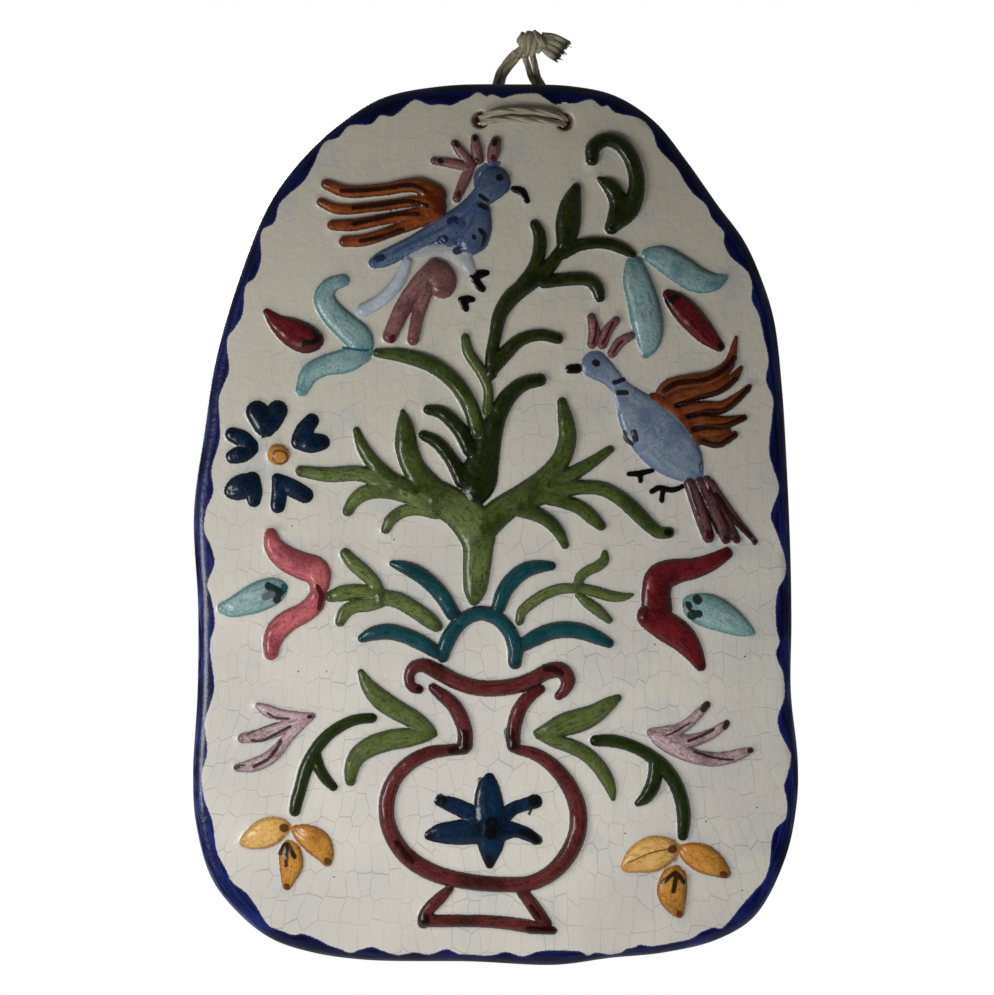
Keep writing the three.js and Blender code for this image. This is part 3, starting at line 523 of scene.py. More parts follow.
PAINTS = {
    "soot": (16, 14, 16), "ink": (20, 38, 74), "brown": (92, 48, 20), "wine": (72, 16, 28),
    "umber": (34, 12, 11), "red": (88, 22, 28), "plum": (46, 26, 32), "deep teal": (10, 84, 100),
    "slate grey": (92, 104, 108), "steel": (68, 88, 122), "char": (40, 16, 8),
    "rust": (98, 40, 14),
}
COILS, STROKES = [], []


def lay(glaze, *coils):
    """Adds coils of one glaze, each a list of places (right, up, width)."""
    COILS.extend((glaze, coil) for coil in coils)


def paint(colour, width, *places):
    """Adds one brush line of even width through its places (right, up)."""
    STROKES.append((colour, width, places))


def told(what):
    print(what, "laid:", len(COILS), "coils and", len(STROKES), "brush lines so far")

# %% [markdown]
# The left bird flies with its wing spread behind it. The potter rolls each wing feather, crest
# quill and tail feather as a thin coil of slip-damp clay and presses it on, thick end to the
# body. Black brush strokes along the feathers are painted over the coloured glaze, so they follow
# the crests of the coils.

# %% Left bird
lay("amber",
    [(-56.6, 113.4, 3.2), (-50, 111, 3.8), (-38, 111.6, 3.8), (-26, 113, 5), (-20.5, 109.5, 8)],
    [(-58.3, 107.4, 2.6), (-53, 105.2, 3.2), (-40, 106, 3.2), (-26, 107.6, 3.8), (-20, 106, 7)],
    [(-54.5, 99.8, 3.2), (-48, 99.8, 3.8), (-36, 102, 3.4), (-26, 103.6, 4), (-20, 105, 6)],
    [(-50.5, 94.3, 3.4), (-44, 94.8, 3.8), (-34, 98, 3.6), (-26, 101.2, 4.4), (-19.5, 104, 5)])
lay("slate",
    [(-40.5, 87.3, 3.6), (-37.5, 88.5, 5.2), (-28, 93.2, 5.4), (-18, 99, 6), (-9, 105.3, 6),
     (-3.6, 110.3, 7.5), (-0.6, 114, 10.6)],
    [(-5.5, 104, 7), (-6.8, 98, 9), (-8.5, 94, 8.4)],
    [(-13, 99.5, 7), (-15.5, 95.5, 6)])
lay("pale slate",
    [(-28, 90.6, 3), (-18, 91.6, 3.6), (-11.5, 89.5, 5), (-8, 84.5, 3)])
lay("ice",
    [(-29.5, 87.5, 3), (-32.5, 81, 4), (-38, 75, 4), (-44.3, 71.3, 4.2)])
lay("mauve",
    [(-20.6, 121.2, 2.2), (-15, 120.4, 2.8), (-9, 119, 2.8)],
    [(-13.8, 127, 2.2), (-11.5, 123.8, 2.9), (-8.3, 120.3, 2.8)],
    [(-7, 128.6, 2.4), (-6.5, 125, 3.6), (-5.8, 121.6, 3.2)],
    [(0, 127.7, 3), (-0.7, 124.5, 4), (-1.3, 121.7, 3)],
    [(-8, 120, 2.6), (-10.8, 114, 3.2), (-13.1, 108.6, 2.4)],
    [(-18.6, 84.6, 7), (-18.2, 81.4, 9.8), (-17.8, 79.4, 8)],
    [(-20.5, 86.5, 4.6), (-26, 80, 5.2), (-31, 72, 5.4), (-35.3, 62.8, 4.6)],
    [(-22.5, 79, 4), (-25.8, 70.5, 4), (-27.6, 61.6, 3.6)])
lay("soot",
    [(6, 111.8, 1.9), (8.5, 111, 2.6), (10.4, 107.9, 1.6)],
    [(-3, 83.9, 1.6), (-5.2, 83.5, 2.7), (-7.6, 82.6, 2.2)],
    [(-7.4, 82.6, 2.2), (-6.2, 80.2, 2.7), (-4.6, 78.6, 2.2)],
    [(-7.8, 75, 1.6), (-9.6, 75.1, 2.4), (-11.6, 74.9, 1.9)],
    [(-11.4, 74.8, 2.2), (-10.7, 73.2, 2.7), (-9.9, 71.8, 1.6)])
paint("rust", 3.6, (-22, 109.5), (-19.6, 106.6), (-19.2, 104.6))
paint("char", 1.8, (-51.5, 111), (-45, 111.2), (-36, 112), (-28, 112.9), (-23.6, 110.8))
paint("char", 1.9, (-47.5, 105.5), (-38, 106.5), (-30, 107.6), (-23, 106))
paint("char", 1.8, (-47.5, 100), (-40, 101.8), (-32, 103.4), (-26, 103.2))
paint("char", 1.8, (-45, 94.3), (-38, 95.8), (-31, 98))
paint("soot", 1.6, (-5.3, 109.5), (-2.8, 107.8))
paint("soot", 1.9, (-5.7, 106.7), (-2.8, 105.2))
paint("soot", 2.6, (1.1, 115.5), (1.4, 115.4))
paint("steel", 1.8, (-6.6, 113), (-6.4, 117), (-3, 119.8), (1, 120.4))
paint("steel", 1.5, (-5.5, 107), (-12, 101.5), (-22, 96.6), (-34, 90.6))
paint("steel", 1.4, (-7, 104.5), (-9, 99), (-14, 94))
paint("steel", 1.5, (-2.6, 105), (-2, 99), (-4, 92.5), (-8, 90.6))
paint("soot", 1.8, (-5.3, 98), (-3.7, 96), (-4.2, 92.5))
paint("soot", 1.6, (-7.3, 95.8), (-7.3, 95.4))
paint("ink", 3, (-13.6, 101.3), (-15, 101))
paint("ink", 3, (-17.2, 95), (-18.4, 94.6))
paint("ink", 2.8, (-12.2, 91.4), (-13.2, 91.1))
paint("ink", 2.6, (-38, 88.8), (-39.6, 88.5))
paint("soot", 2.2, (-18.7, 121.1), (-18.3, 121))
paint("soot", 2, (-13.2, 126.8), (-12.8, 126.3))
paint("soot", 2, (-7, 129), (-6.9, 128.5))
paint("soot", 2.2, (-0.5, 127.6), (-0.5, 126.9))
paint("red", 2.2, (-1, 122.2), (-1, 121.5))
paint("wine", 1.8, (-12.3, 110.2), (-12.6, 109.6))
paint("soot", 1.6, (-6.5, 121.3), (-6.6, 120.8))
paint("wine", 2.2, (-34.3, 62.2), (-34.6, 61.5))
told("left bird")

# %% [markdown]
# The right bird is one fat body coil that swells and tapers like a pear, with five wing coils
# that curl up at their ends. Its crest, tail and claws are the thinnest coils on the plaque, and
# the claws are little more than lines of black glaze.

# %% Right bird
lay("dove",
    [(33.1, 53.2, 9), (37.8, 49.6, 6.4), (41.4, 45.6, 5.8), (45, 40.6, 10), (50, 34, 16.4),
     (56.4, 27.2, 18.4), (62.2, 21.2, 13), (66.8, 16.8, 4.5)])
lay("mauve",
    [(31.8, 69, 2.6), (32.8, 64, 3.6), (32, 60.2, 3)],
    [(40, 68, 2.4), (37, 64.4, 3.2), (35.4, 60, 3)],
    [(45, 63, 2.4), (41, 60.4, 3.2), (38.6, 57, 2.8)])
lay("plum mauve",
    [(64.4, 14, 3.4), (67, 7, 4.2), (69.4, 0, 4.2), (70.8, -4.2, 3.6)],
    [(67.6, 14.4, 3), (70.6, 8, 3.2), (73.6, 2, 3.6), (76.6, -5, 2.8)],
    [(70.2, 15, 2.6), (73.2, 8.6, 3), (76.6, 1.6, 3), (80.2, -5, 2.4)],
    [(71.8, 14, 2), (75.2, 8, 2.8), (80, 1.6, 2.4), (86.4, -5.6, 1.4)])
lay("straw",
    [(52, 42.6, 2.2), (57.5, 39.4, 3.4), (62.6, 34.8, 3.4), (67.4, 28, 2.6)],
    [(54, 43, 2.4), (57.4, 45.8, 4.8), (64, 47.7, 4.6), (71.5, 49, 4.6), (77.4, 53.2, 3.6),
     (80, 62.3, 0.9)],
    [(57.5, 41.2, 3), (65, 43.6, 4.6), (74, 45.5, 4.2), (79, 48.8, 3), (81.6, 52.2, 1.2)],
    [(60.5, 37.6, 3), (68, 39, 4), (75, 39, 4), (80, 42, 3), (84.4, 46, 1.4)],
    [(64, 34.5, 3), (70, 34.5, 4), (76, 34, 4), (82.5, 35.5, 2)],
    [(66, 31.3, 2.6), (71.5, 30.8, 3.6), (77, 31.5, 2.2)],
    [(69, 28, 2.8), (74, 27.6, 4), (79.5, 30, 2)])
lay("soot",
    [(24.6, 51.8, 2.7), (27, 52, 3)],
    [(44.3, 16.8, 1.3), (48, 17.1, 1.7), (52, 18, 1.2)],
    [(48, 17, 1.5), (48.2, 14.6, 1.4)],
    [(51.9, 11, 1.4), (54.2, 12.2, 1.6), (59, 11.5, 1.5), (62.8, 13, 1.2)],
    [(55.6, 11.8, 1.3), (55.2, 8, 1.4)])
paint("soot", 2.6, (33.1, 53.9), (33.5, 53.7))
paint("soot", 1.8, (39.3, 47.2), (42.5, 48.3))
paint("soot", 1.9, (40.5, 43.8), (43.5, 44))
paint("soot", 1.6, (43, 31), (43.3, 28.5), (45.3, 26.8))
paint("soot", 2.3, (45.8, 30.8), (46.5, 28.3))
paint("ink", 0.6, (68.5, 21), (67.7, 19), (68.3, 17.3))
paint("char", 2.1, (56, 44.5), (60, 47), (69, 48), (75, 51), (79.5, 55.5))
paint("char", 2, (60, 39.5), (66, 41.8), (74, 44.2), (80, 48.5))
paint("char", 2.2, (64, 36), (70, 37.5), (76, 38), (84, 45))
paint("char", 2.2, (65.5, 31.5), (70, 32.5), (76, 32.8), (82.5, 35.5))
paint("char", 2.2, (69, 27.5), (74, 26.5), (79.5, 29.5))
paint("char", 1.1, (64.6, 12), (66.8, 4.5), (69, -2.4))
paint("char", 1.5, (68, 11.5), (71, 4), (74, -2.6))
paint("char", 1.6, (71, 12), (75, 4), (78, -2.6))
paint("char", 1.9, (73.4, 10), (78.6, 2.4), (84.6, -4))
paint("wine", 3, (71.2, -3.2), (71.3, -3.8))
paint("wine", 2.2, (76.3, -4.6), (76.5, -5.2))
paint("wine", 2.2, (79.6, -4.6), (79.8, -5.2))
paint("soot", 1.6, (85.8, -5.8), (86.2, -6.3))
paint("wine", 1.1, (33.4, 67.4), (33.2, 63.6), (32.4, 60.4))
paint("wine", 1.1, (38.8, 67.2), (37.2, 63.6), (35.6, 60.4))
paint("wine", 1.1, (42, 61), (40.4, 59.4), (39.3, 57.6))
told("right bird")

# %% [markdown]
# The middle plant climbs in one long bent stem. Side shoots are pressed against it while the clay
# is soft, so they melt into it at their roots and stay crisp at their tips. The curled frond at
# the top is nearly black, where the green glaze lies thick.

# %% Tall stem with its frond and bud
lay("bottle",
    [(32, 121.6, 4), (32.4, 125.6, 4.6), (36.3, 128.2, 4.4), (41.2, 126.8, 4.6), (45.2, 121.4, 4.8),
     (46.9, 113, 5), (44.5, 105, 6), (38.4, 98.8, 4)],
    [(34.5, 115, 1.6), (38, 112.6, 4.6), (40.8, 107.5, 5.8), (40.2, 102, 6), (38.6, 99, 4.4)],
    [(26.7, 112.2, 2.8), (24.8, 106, 6.8), (24, 100, 8), (23.3, 95, 6), (22.2, 91, 3.4)],
    [(22, 90, 3.4), (28, 93.2, 3.8), (36, 93.8, 3.6), (42, 92, 3.4), (45.4, 90, 2.6)],
    [(16, 80.8, 4), (24, 81.8, 4.2), (30.5, 81.6, 4), (33.8, 78.8, 4), (34.6, 75.8, 3.2)],
    [(4.6, 76, 3.2), (9, 80.8, 3.6), (12.8, 86, 3.8), (14.6, 92, 4.2), (14.4, 97, 3.8),
     (12.9, 100, 3)],
    [(-1.6, 50, 3.4), (-1.6, 56, 3.6), (-0.3, 62.5, 3.8), (1.4, 70, 4.6), (5.6, 76.2, 5.4),
     (12, 81, 5), (17.4, 85.6, 4.4), (21.4, 91, 3.8)],
    [(-1.8, 50.6, 3.4), (2.2, 56, 4.6), (8, 61.4, 4), (14.6, 63.2, 3.6), (20.6, 62, 3.4)])
lay("olive",
    [(-39.4, 57.2, 2.8), (-31, 56.3, 4.4), (-20.5, 52.8, 5), (-13, 46.6, 5), (-8.6, 39.5, 5),
     (-6, 31, 5)])
lay("fern",
    [(-10.2, 62.2, 2.6), (-9.2, 57.5, 3.4), (-5, 51, 3.4), (-2.6, 45, 3), (-2.9, 38, 3)])
told("thistle")

# %% [markdown]
# Three broad leaves meet at the foot of the stem in the darkest green. Wide coils are flattened
# with a fingertip, so the leaf is as thick as its neighbours although it is twice as wide.

# %% Dark leaves at the plant's foot
lay("forest",
    [(14.6, 48.2, 4), (9, 46.8, 4.6), (4, 42.6, 5.4), (0.6, 36.5, 6), (-2.2, 29, 8),
     (-4.4, 21, 10.5), (-6, 14.5, 12), (-6.6, 9.8, 7)],
    [(-22.6, 38.3, 3), (-18, 37.3, 4.2), (-12.3, 32, 4.8), (-8.4, 25, 5)],
    [(-24.2, 29.8, 3), (-19.6, 27.4, 4), (-15, 22, 4.4), (-10.8, 15, 6)])
told("dark plant")

# %% [markdown]
# The tree carries the branches that reach across the plaque. Short leaves stand on them like
# thorns. The trunk is the widest coil and it is pressed on first, with the branches laid over its
# top.

# %% Spreading tree
lay("moss",
    [(-65, 17.8, 3.4), (-56, 16.6, 4.6), (-46, 17, 4.8), (-38, 15, 5.6), (-30, 12.6, 6)],
    [(-49.4, 4.4, 3.2), (-47.4, 7.7, 4), (-43.5, 10.6, 4.8), (-37, 11.4, 5.2), (-29, 9.8, 5.6),
     (-21, 7, 7)],
    [(-36.7, -1.6, 2.8), (-35, 1.6, 3.6), (-31, 4.4, 3.8), (-26, 5.2, 4), (-20, 4.4, 5)],
    [(-7.3, -25, 3.6), (-6.9, -21, 7.4), (-6.4, -14, 9), (-6, -7, 10), (-7, -1, 13), (-12, 4.5, 12),
     (-19, 9, 11)])
lay("olive",
    [(-46.5, 31.4, 2), (-44.2, 25.5, 3.8), (-40.2, 19.8, 4.8), (-34.5, 14.5, 5.6), (-27, 10.6, 6)],
    [(-31, 37.6, 1.4), (-30.2, 32, 5.6), (-29.8, 26, 7.2), (-27.4, 19, 7.6), (-22.5, 12.5, 9),
     (-16, 7, 9)],
    [(22, 40.8, 2.8), (23.2, 35, 4.8), (23.8, 28.5, 5.6), (21.6, 21.6, 6), (16.4, 15.6, 6.4),
     (9, 9.8, 7.5), (1, 4, 9), (-5, -2, 9)],
    [(38, 25, 2.4), (32, 20.8, 3.6), (25, 16.6, 4.8), (18, 13, 5)],
    [(12, 9.6, 8), (20, 11.4, 6), (28, 12.4, 4.6), (35, 12, 4.4), (41, 9, 4.6), (45.8, 5, 4.8),
     (50.6, 0.2, 4.4), (54.4, -2.7, 3.8), (57.6, -2.7, 3.4)],
    [(14, 9.6, 4.4), (21, 8, 4.2), (27.6, 5.8, 4.4), (32.6, 1.8, 4.2), (35, -0.4, 3)],
    [(8, 5.6, 6), (13, 3.7, 4.8), (17.5, 1.1, 4.2), (21, -2.6, 3.6), (23, -6.8, 2.4)])
paint("soot", 3, (57.3, -2.4), (57.7, -2.7))
told("tree")

# %% [markdown]
# Each pair of pale turquoise petals opens round a crimson seed. The glaze is thin and milky here,
# and it pools darker at the petals' edges.

# %% Open petals and their seeds
lay("duck egg",
    [(50.6, 90, 4), (55.5, 88.8, 7.8), (61, 85.3, 9), (67, 81.6, 8.4), (72.5, 80.8, 5.6),
     (76.6, 82.6, 1.6)],
    [(46.2, 86.4, 6), (47, 81, 9), (48.8, 75, 10), (50.4, 67.5, 10.4), (51, 61.5, 7.6),
     (49.8, 56.6, 2.4)],
    [(-50.8, 81.4, 4), (-55, 79.8, 5), (-57.2, 75.8, 6.6), (-54.8, 70.8, 7.6), (-50, 66, 8.6),
     (-45.6, 61.8, 9), (-44.9, 58.4, 7.4)],
    [(-44.9, 57, 6.8), (-50, 54.6, 7.8), (-57, 53, 6.6), (-62, 50.2, 6), (-64.6, 44.9, 4)])
lay("crimson",
    [(57.4, 76.6, 3.4), (60.4, 73.8, 6.6), (64.6, 69.4, 8), (69.6, 63.8, 6.6), (74.4, 59.2, 3)],
    [(-76.3, 70.8, 2.2), (-72.6, 67, 5.4), (-68, 64.2, 9), (-63.6, 62, 9.6), (-61, 61.4, 7)])
paint("soot", 3.2, (57.5, 74.6), (57.9, 74))
paint("soot", 2.4, (59.8, 76), (60.2, 76))
paint("soot", 2.4, (75, 59.8), (75.2, 59.2))
paint("wine", 0.9, (63, 69), (67, 65), (70, 61.5))
paint("deep teal", 0.9, (-51, 59), (-45, 58), (-42.5, 58))
paint("soot", 1.8, (-61, 65), (-59, 61.5), (-64.5, 60))
told("top petals")

# %% [markdown]
# Every petal of this flower is two short coils that touch at the base like a heart, round a
# button of yellow.

# %% Navy flower
lay("navy",
    [(-79.6, 37.6, 7.2), (-77, 33, 7), (-76.3, 31.2, 3.4)],
    [(-72.8, 38, 6.6), (-75.2, 34, 6.6), (-76.2, 31.2, 3.4)],
    [(-66, 28.6, 4), (-63.8, 31.6, 5.4), (-61.4, 34.6, 4.6)],
    [(-66, 27.4, 4.4), (-61.6, 27.2, 6.4), (-58, 27.4, 5)],
    [(-81.6, 26.4, 4.4), (-84.6, 28.6, 5.4), (-87.8, 30, 4.6)],
    [(-81.4, 25.2, 4.2), (-84.6, 23.6, 5.6), (-87.8, 22.6, 4.4)],
    [(-81.8, 14.6, 5), (-85.2, 12.4, 8), (-88, 11.2, 5)],
    [(-81.2, 15, 5), (-80.8, 11, 5.6), (-80.7, 8, 4.2)],
    [(-73, 15.4, 3.2), (-72.2, 11, 4.8), (-72.7, 6.2, 4.6)],
    [(-72, 14.8, 3.8), (-68, 12.2, 5.6), (-63.6, 9.8, 5.2)])
lay("yellow",
    [(-72.7, 23.4, 6.6), (-72.3, 23.2, 6.6)])
paint("brown", 0.7, (-73.9, 24.2), (-72.2, 24.6), (-70.2, 23.9), (-69.4, 22.3), (-70.2, 20.8),
      (-72, 20.3), (-73.8, 21.1), (-74.2, 22.8), (-73.9, 24.2))
told("navy flower")

# %% [markdown]
# A tulip lies on its side at each edge, two rose or crimson petals round a turquoise seed. Dark
# blobs of glaze mark the seed's stamens.

# %% Side tulips
lay("rose",
    [(-75, -3.2, 3.8), (-74, -7.2, 6), (-70, -11.2, 8), (-64.5, -13.8, 8.8), (-60, -15.6, 9),
     (-58.8, -19.6, 6.4), (-59.4, -22.8, 4.6)],
    [(-59.4, -23, 4.6), (-60.6, -26.4, 6.4), (-64, -29.4, 6.4), (-68.6, -31.7, 6.8),
     (-72.6, -35, 7), (-74.6, -39.4, 5.6), (-74.9, -43, 4.2)])
lay("crimson",
    [(76.8, -9.6, 3.8), (72, -12.4, 5.4), (66, -14.6, 6.6), (60, -15.6, 8), (54.8, -17.8, 9.6),
     (53.4, -22.5, 9.4), (53.6, -28, 10)],
    [(51, -30.6, 8), (56, -33.6, 9.6), (61.6, -37.4, 9), (65.4, -42, 6.4), (68.2, -47.2, 3.2)])
lay("duck egg",
    [(-91, -27.8, 3.4), (-88, -27.7, 6), (-84, -26.2, 8), (-79.4, -24.2, 9.6), (-75, -22.4, 9),
     (-72, -21.2, 5)],
    [(64.8, -26.4, 5.5), (67.5, -27.8, 9.4), (71, -28.8, 11), (76, -31, 9.6), (81, -33.8, 6.4),
     (85, -35.8, 2.4)])
paint("wine", 1.8, (-59.5, -20.5), (-58.2, -23), (-58.8, -28))
paint("slate grey", 2.8, (-74.4, -22.8), (-76.8, -24.1))
paint("soot", 2.8, (-75.8, -20.4), (-71.8, -22.6))
paint("soot", 2.8, (-72.4, -22.4), (-73, -25))
paint("deep teal", 2.4, (-70.6, -20.8), (-70.4, -21.3))
paint("soot", 3.2, (66.8, -24.8), (67.2, -25.2))
paint("soot", 3, (63.7, -26.9), (64, -27.1))
paint("soot", 3.4, (65.2, -29.8), (65.4, -30.2))
paint("soot", 2.6, (67.3, -29.5), (67.6, -29.8))
told("side tulips")

# %% [markdown]
# Small leafy sprigs fill the space between the tulips and the fountain. They are the lightest
# greens on the plaque.

# %% Sprigs beside the fountain
lay("moss",
    [(-50.2, -9.6, 3.2), (-47.8, -12.6, 4.4), (-44.2, -15.8, 4.6), (-40.8, -19.2, 4.2),
     (-38.8, -23, 4)],
    [(-55, -24, 3.4), (-51, -22.9, 5), (-46, -22.2, 4.4), (-39.6, -23, 4)],
    [(-51.9, -32.4, 3), (-50.3, -29.2, 4), (-47, -27.2, 4.2), (-42.4, -26.6, 4.4),
     (-38.6, -25.4, 4.4)],
    [(-38, -24.2, 4.8), (-32.6, -25.2, 5.2), (-27, -28.4, 5.2), (-22.2, -31.8, 5),
     (-19.8, -33.8, 3.8)],
    [(7.8, -32.2, 2.6), (8.8, -28.9, 3.2), (12.4, -25.7, 3.4), (17, -22.9, 3.4), (22, -21.4, 3.2),
     (26.6, -21.2, 3)])
lay("fern",
    [(27.1, -20.4, 2.6), (27.9, -17.8, 3), (30.3, -15.6, 3), (33.6, -14, 3.2), (36, -12, 3),
     (36.2, -9.4, 1.6)],
    [(27, -21, 2.8), (32, -22.1, 3.4), (38, -23.8, 3.4), (42.6, -24.1, 2.4), (45.3, -23.4, 1)],
    [(27.4, -23.6, 1.8), (30.4, -26, 3.2), (34.3, -28.9, 3.4), (37.6, -31.8, 2.2)])
told("sprigs")

# %% [markdown]
# Five teal coils rise from the vase and fall to both sides, the middle one bent into an arch.

# %% Fountain over the vase
lay("teal",
    [(-17.7, -44, 3.8), (-16.6, -39.8, 4.8), (-14.2, -35.4, 4.8), (-10.6, -31.6, 4.6),
     (-5, -29.5, 4.6), (0.6, -31.4, 4.6), (4.8, -36.2, 4.6), (6.5, -41.4, 4.8), (6.3, -46, 4.2)],
    [(-34.4, -13, 2), (-30, -14.4, 4.2), (-25.4, -16.7, 5), (-21.2, -20.1, 5), (-17.6, -24.2, 5),
     (-14.4, -29.6, 4.6)],
    [(18.4, -13.8, 2.8), (14.4, -14, 4), (9.8, -15.2, 5), (5.8, -18.2, 5.2), (2.8, -22.2, 5),
     (0.8, -27.6, 4.4)],
    [(-44.6, -37.9, 2.6), (-40.8, -36.3, 4.4), (-35.6, -35.7, 5), (-30.4, -36.9, 5),
     (-25, -39.3, 5), (-19.6, -42.6, 4.2)],
    [(8.6, -40.4, 4), (13, -37.8, 5.2), (18, -35.7, 5.2), (23.4, -35, 5.2), (29, -35.8, 5),
     (33.6, -37.6, 4.4), (37.6, -39.5, 3)])
told("fountain")

# %% [markdown]
# The vase is drawn in outline with long maroon coils: a rolled rim, two curved walls, a round
# belly and a small foot. A navy star of five leaves sits on its belly. Where two coils meet, the
# glaze runs together and fires almost black.

# %% Vase and its star
lay("maroon",
    [(-25.7, -54.9, 2.8), (-28, -54.1, 3), (-28.9, -50.8, 3.2), (-27.6, -47.8, 3.8),
     (-24.2, -46.9, 4.4), (-19.6, -48.9, 5), (-13.4, -52.2, 5), (-6.6, -54.3, 5), (1, -54.5, 5),
     (7.6, -53.4, 5), (13, -51.2, 4.8), (17.6, -48.8, 5), (21.8, -48.6, 5), (24, -51.8, 4.6),
     (22.9, -55, 3.6), (20.9, -57.1, 2.6)],
    [(-21, -54.4, 2.8), (-18, -56.8, 4), (-14.3, -60, 4.6), (-11.7, -64.5, 4.8), (-10.3, -69, 4.6),
     (-10.2, -73.6, 4.6)],
    [(15, -54.9, 2.6), (11.5, -57, 3.8), (8.4, -60.6, 4.4), (6.6, -65, 4.6), (5.8, -69.6, 4.4),
     (6, -73.8, 4.2)],
    [(-10.6, -74.7, 3.6), (-16, -75.2, 3.6), (-22, -76.1, 4.2), (-28, -79, 4.6), (-33, -83.7, 4.6),
     (-35.9, -90, 4.8), (-36.4, -97, 4.8), (-34.6, -103.6, 5), (-29.6, -110.6, 5.4),
     (-21, -116, 5.4), (-10, -118.8, 5), (2, -119.9, 4.8), (12, -119.3, 4.8), (19, -115.6, 5.2),
     (24.2, -109.6, 5.6), (27.2, -102, 5.6), (27, -93.6, 5.4), (23.6, -86, 5), (18.4, -80, 4.4),
     (12.6, -76.3, 3.8), (7, -74.9, 3)],
    [(-15.4, -121.3, 2.4), (-18.6, -124.4, 3.6), (-22, -127.8, 3.8), (-24, -131, 3.8),
     (-23.8, -132, 3.8)],
    [(-23.6, -132.1, 3.8), (-12, -132, 3.8), (0, -132.4, 3.9), (9, -133.6, 4.2), (14, -134.4, 3.8),
     (18.8, -135.1, 2)],
    [(8.4, -122, 3.4), (11.4, -125.8, 4), (14.4, -130, 4.2), (17, -133, 3)])
lay("navy",
    [(-2.2, -84.6, 3.4), (-2.6, -88.4, 7.4), (-2.4, -93, 9.4), (-1.8, -99, 10), (-1.7, -105, 9),
     (-2, -110, 5.4), (-2.1, -113.2, 2.4)],
    [(-19, -92.2, 3), (-15.2, -93.2, 4.8), (-10.6, -95.2, 5.4), (-5.6, -98, 6.4)],
    [(-22.2, -103.6, 3), (-18.4, -102.9, 6.2), (-12.6, -102.6, 8), (-6, -101.8, 9)],
    [(1, -101.8, 7.6), (6.4, -101.9, 4.6), (10.8, -103.4, 4), (13.2, -105.2, 2.8)],
    [(1.6, -98.4, 5), (5.6, -94.8, 4.2), (9.4, -93.4, 4), (13, -92.3, 4.4)])
paint("umber", 2.2, (-25.7, -54.8), (-25.7, -55.3))
paint("umber", 2.6, (16.5, -47.6), (19, -48), (21.5, -49.6))
paint("red", 1.6, (20.8, -56.8), (20.8, -57.2))
paint("umber", 4, (-10.8, -70), (-11.3, -74.4))
paint("umber", 3.2, (-14.5, -75.4), (-10.5, -75))
paint("umber", 3.6, (4.3, -69), (5.2, -73.6))
paint("umber", 4, (-24, -131.2), (-24.3, -132.8))
paint("umber", 3, (11, -135), (19, -135.3))
paint("umber", 1.8, (14.5, -131), (11.5, -127))
paint("umber", 2.2, (-33, -106), (-28, -112))
paint("soot", 3.8, (12.6, -91.6), (13.6, -92.8))
paint("soot", 1.2, (12, -94.5), (11, -96.5))
paint("soot", 3.2, (8.8, -102.6), (12, -103.6), (14.2, -105.2))
paint("soot", 2.6, (-18.6, -90.8), (-17.4, -91.8))
paint("soot", 2.4, (-22.8, -103.4), (-21.6, -104.2))
paint("soot", 4.6, (-1.6, -99.4), (-2, -102.6))
paint("soot", 1.4, (-5.4, -84.5), (-5.6, -88))
paint("soot", 3.2, (-2.2, -111.6), (-2.1, -113.2))
told("vase")

# %% [markdown]
# Two broad leaves lie on each side of the vase's neck, wide in the middle and drawn out to a
# point.

# %% Leaves beside the vase
lay("leaf",
    [(-45, -49.2, 1.8), (-42.4, -54, 4.6), (-38.4, -58.2, 6.4), (-33.2, -61.7, 6.4),
     (-27.6, -64.8, 5.8), (-23.4, -67.6, 4.4), (-20.8, -69.4, 2)],
    [(-48.5, -85.4, 3.2), (-48.1, -81.4, 4.4), (-46, -77, 5.6), (-41.6, -73.9, 6.4),
     (-35.6, -71.9, 6.6), (-29.6, -71, 6.2), (-24.8, -70.4, 4.6), (-20.6, -70, 1.8)],
    [(13.4, -69.5, 1.8), (18, -68.3, 5), (23, -66.6, 7.4), (28.2, -65.1, 7.6), (33.2, -62.9, 6.2),
     (37, -60.2, 4.6), (40.6, -57.8, 2.2)],
    [(14, -70.4, 1.8), (19, -72, 3.8), (25, -73.9, 4.6), (30, -76.5, 4.6), (34, -80.4, 4.6),
     (36.9, -84.8, 4.2), (38.5, -88.8, 2.8), (39, -91.4, 1.2)])
told("vase leaves")

# %% [markdown]
# A thin dark stem leaves each pair of leaves and bends down to the corner flowers.

# %% Drooping stems
lay("pine",
    [(-41.3, -64.5, 3), (-46, -64.9, 3.2), (-51, -66.8, 3.4), (-56, -70.2, 3.6),
     (-60.2, -75.2, 3.8), (-63.2, -81.2, 4), (-65, -87.4, 3.8), (-66.4, -92.4, 3.8),
     (-67, -95.4, 3.4)],
    [(-60.2, -76.6, 3.6), (-59.2, -80.4, 3.6), (-57, -84.4, 3.4), (-54.2, -87.4, 2.6)],
    [(33.2, -72, 3.4), (39, -72.1, 4), (45, -73.7, 3.8), (50.4, -76.4, 4), (55.6, -80.6, 4.6),
     (59.4, -85.6, 4.4), (61.7, -91.4, 4.3), (62.6, -98, 4.2), (62.2, -103.6, 3.2)],
    [(53.4, -79.6, 4.6), (53, -84, 4.6), (51.7, -88.2, 4.6), (49.4, -91.4, 3.6),
     (47.2, -92.9, 1.8)])
told("drooping stems")

# %% [markdown]
# Three lilac pink fingers make a trumpet on each side. Plum lines brushed along them give them
# their shadow.

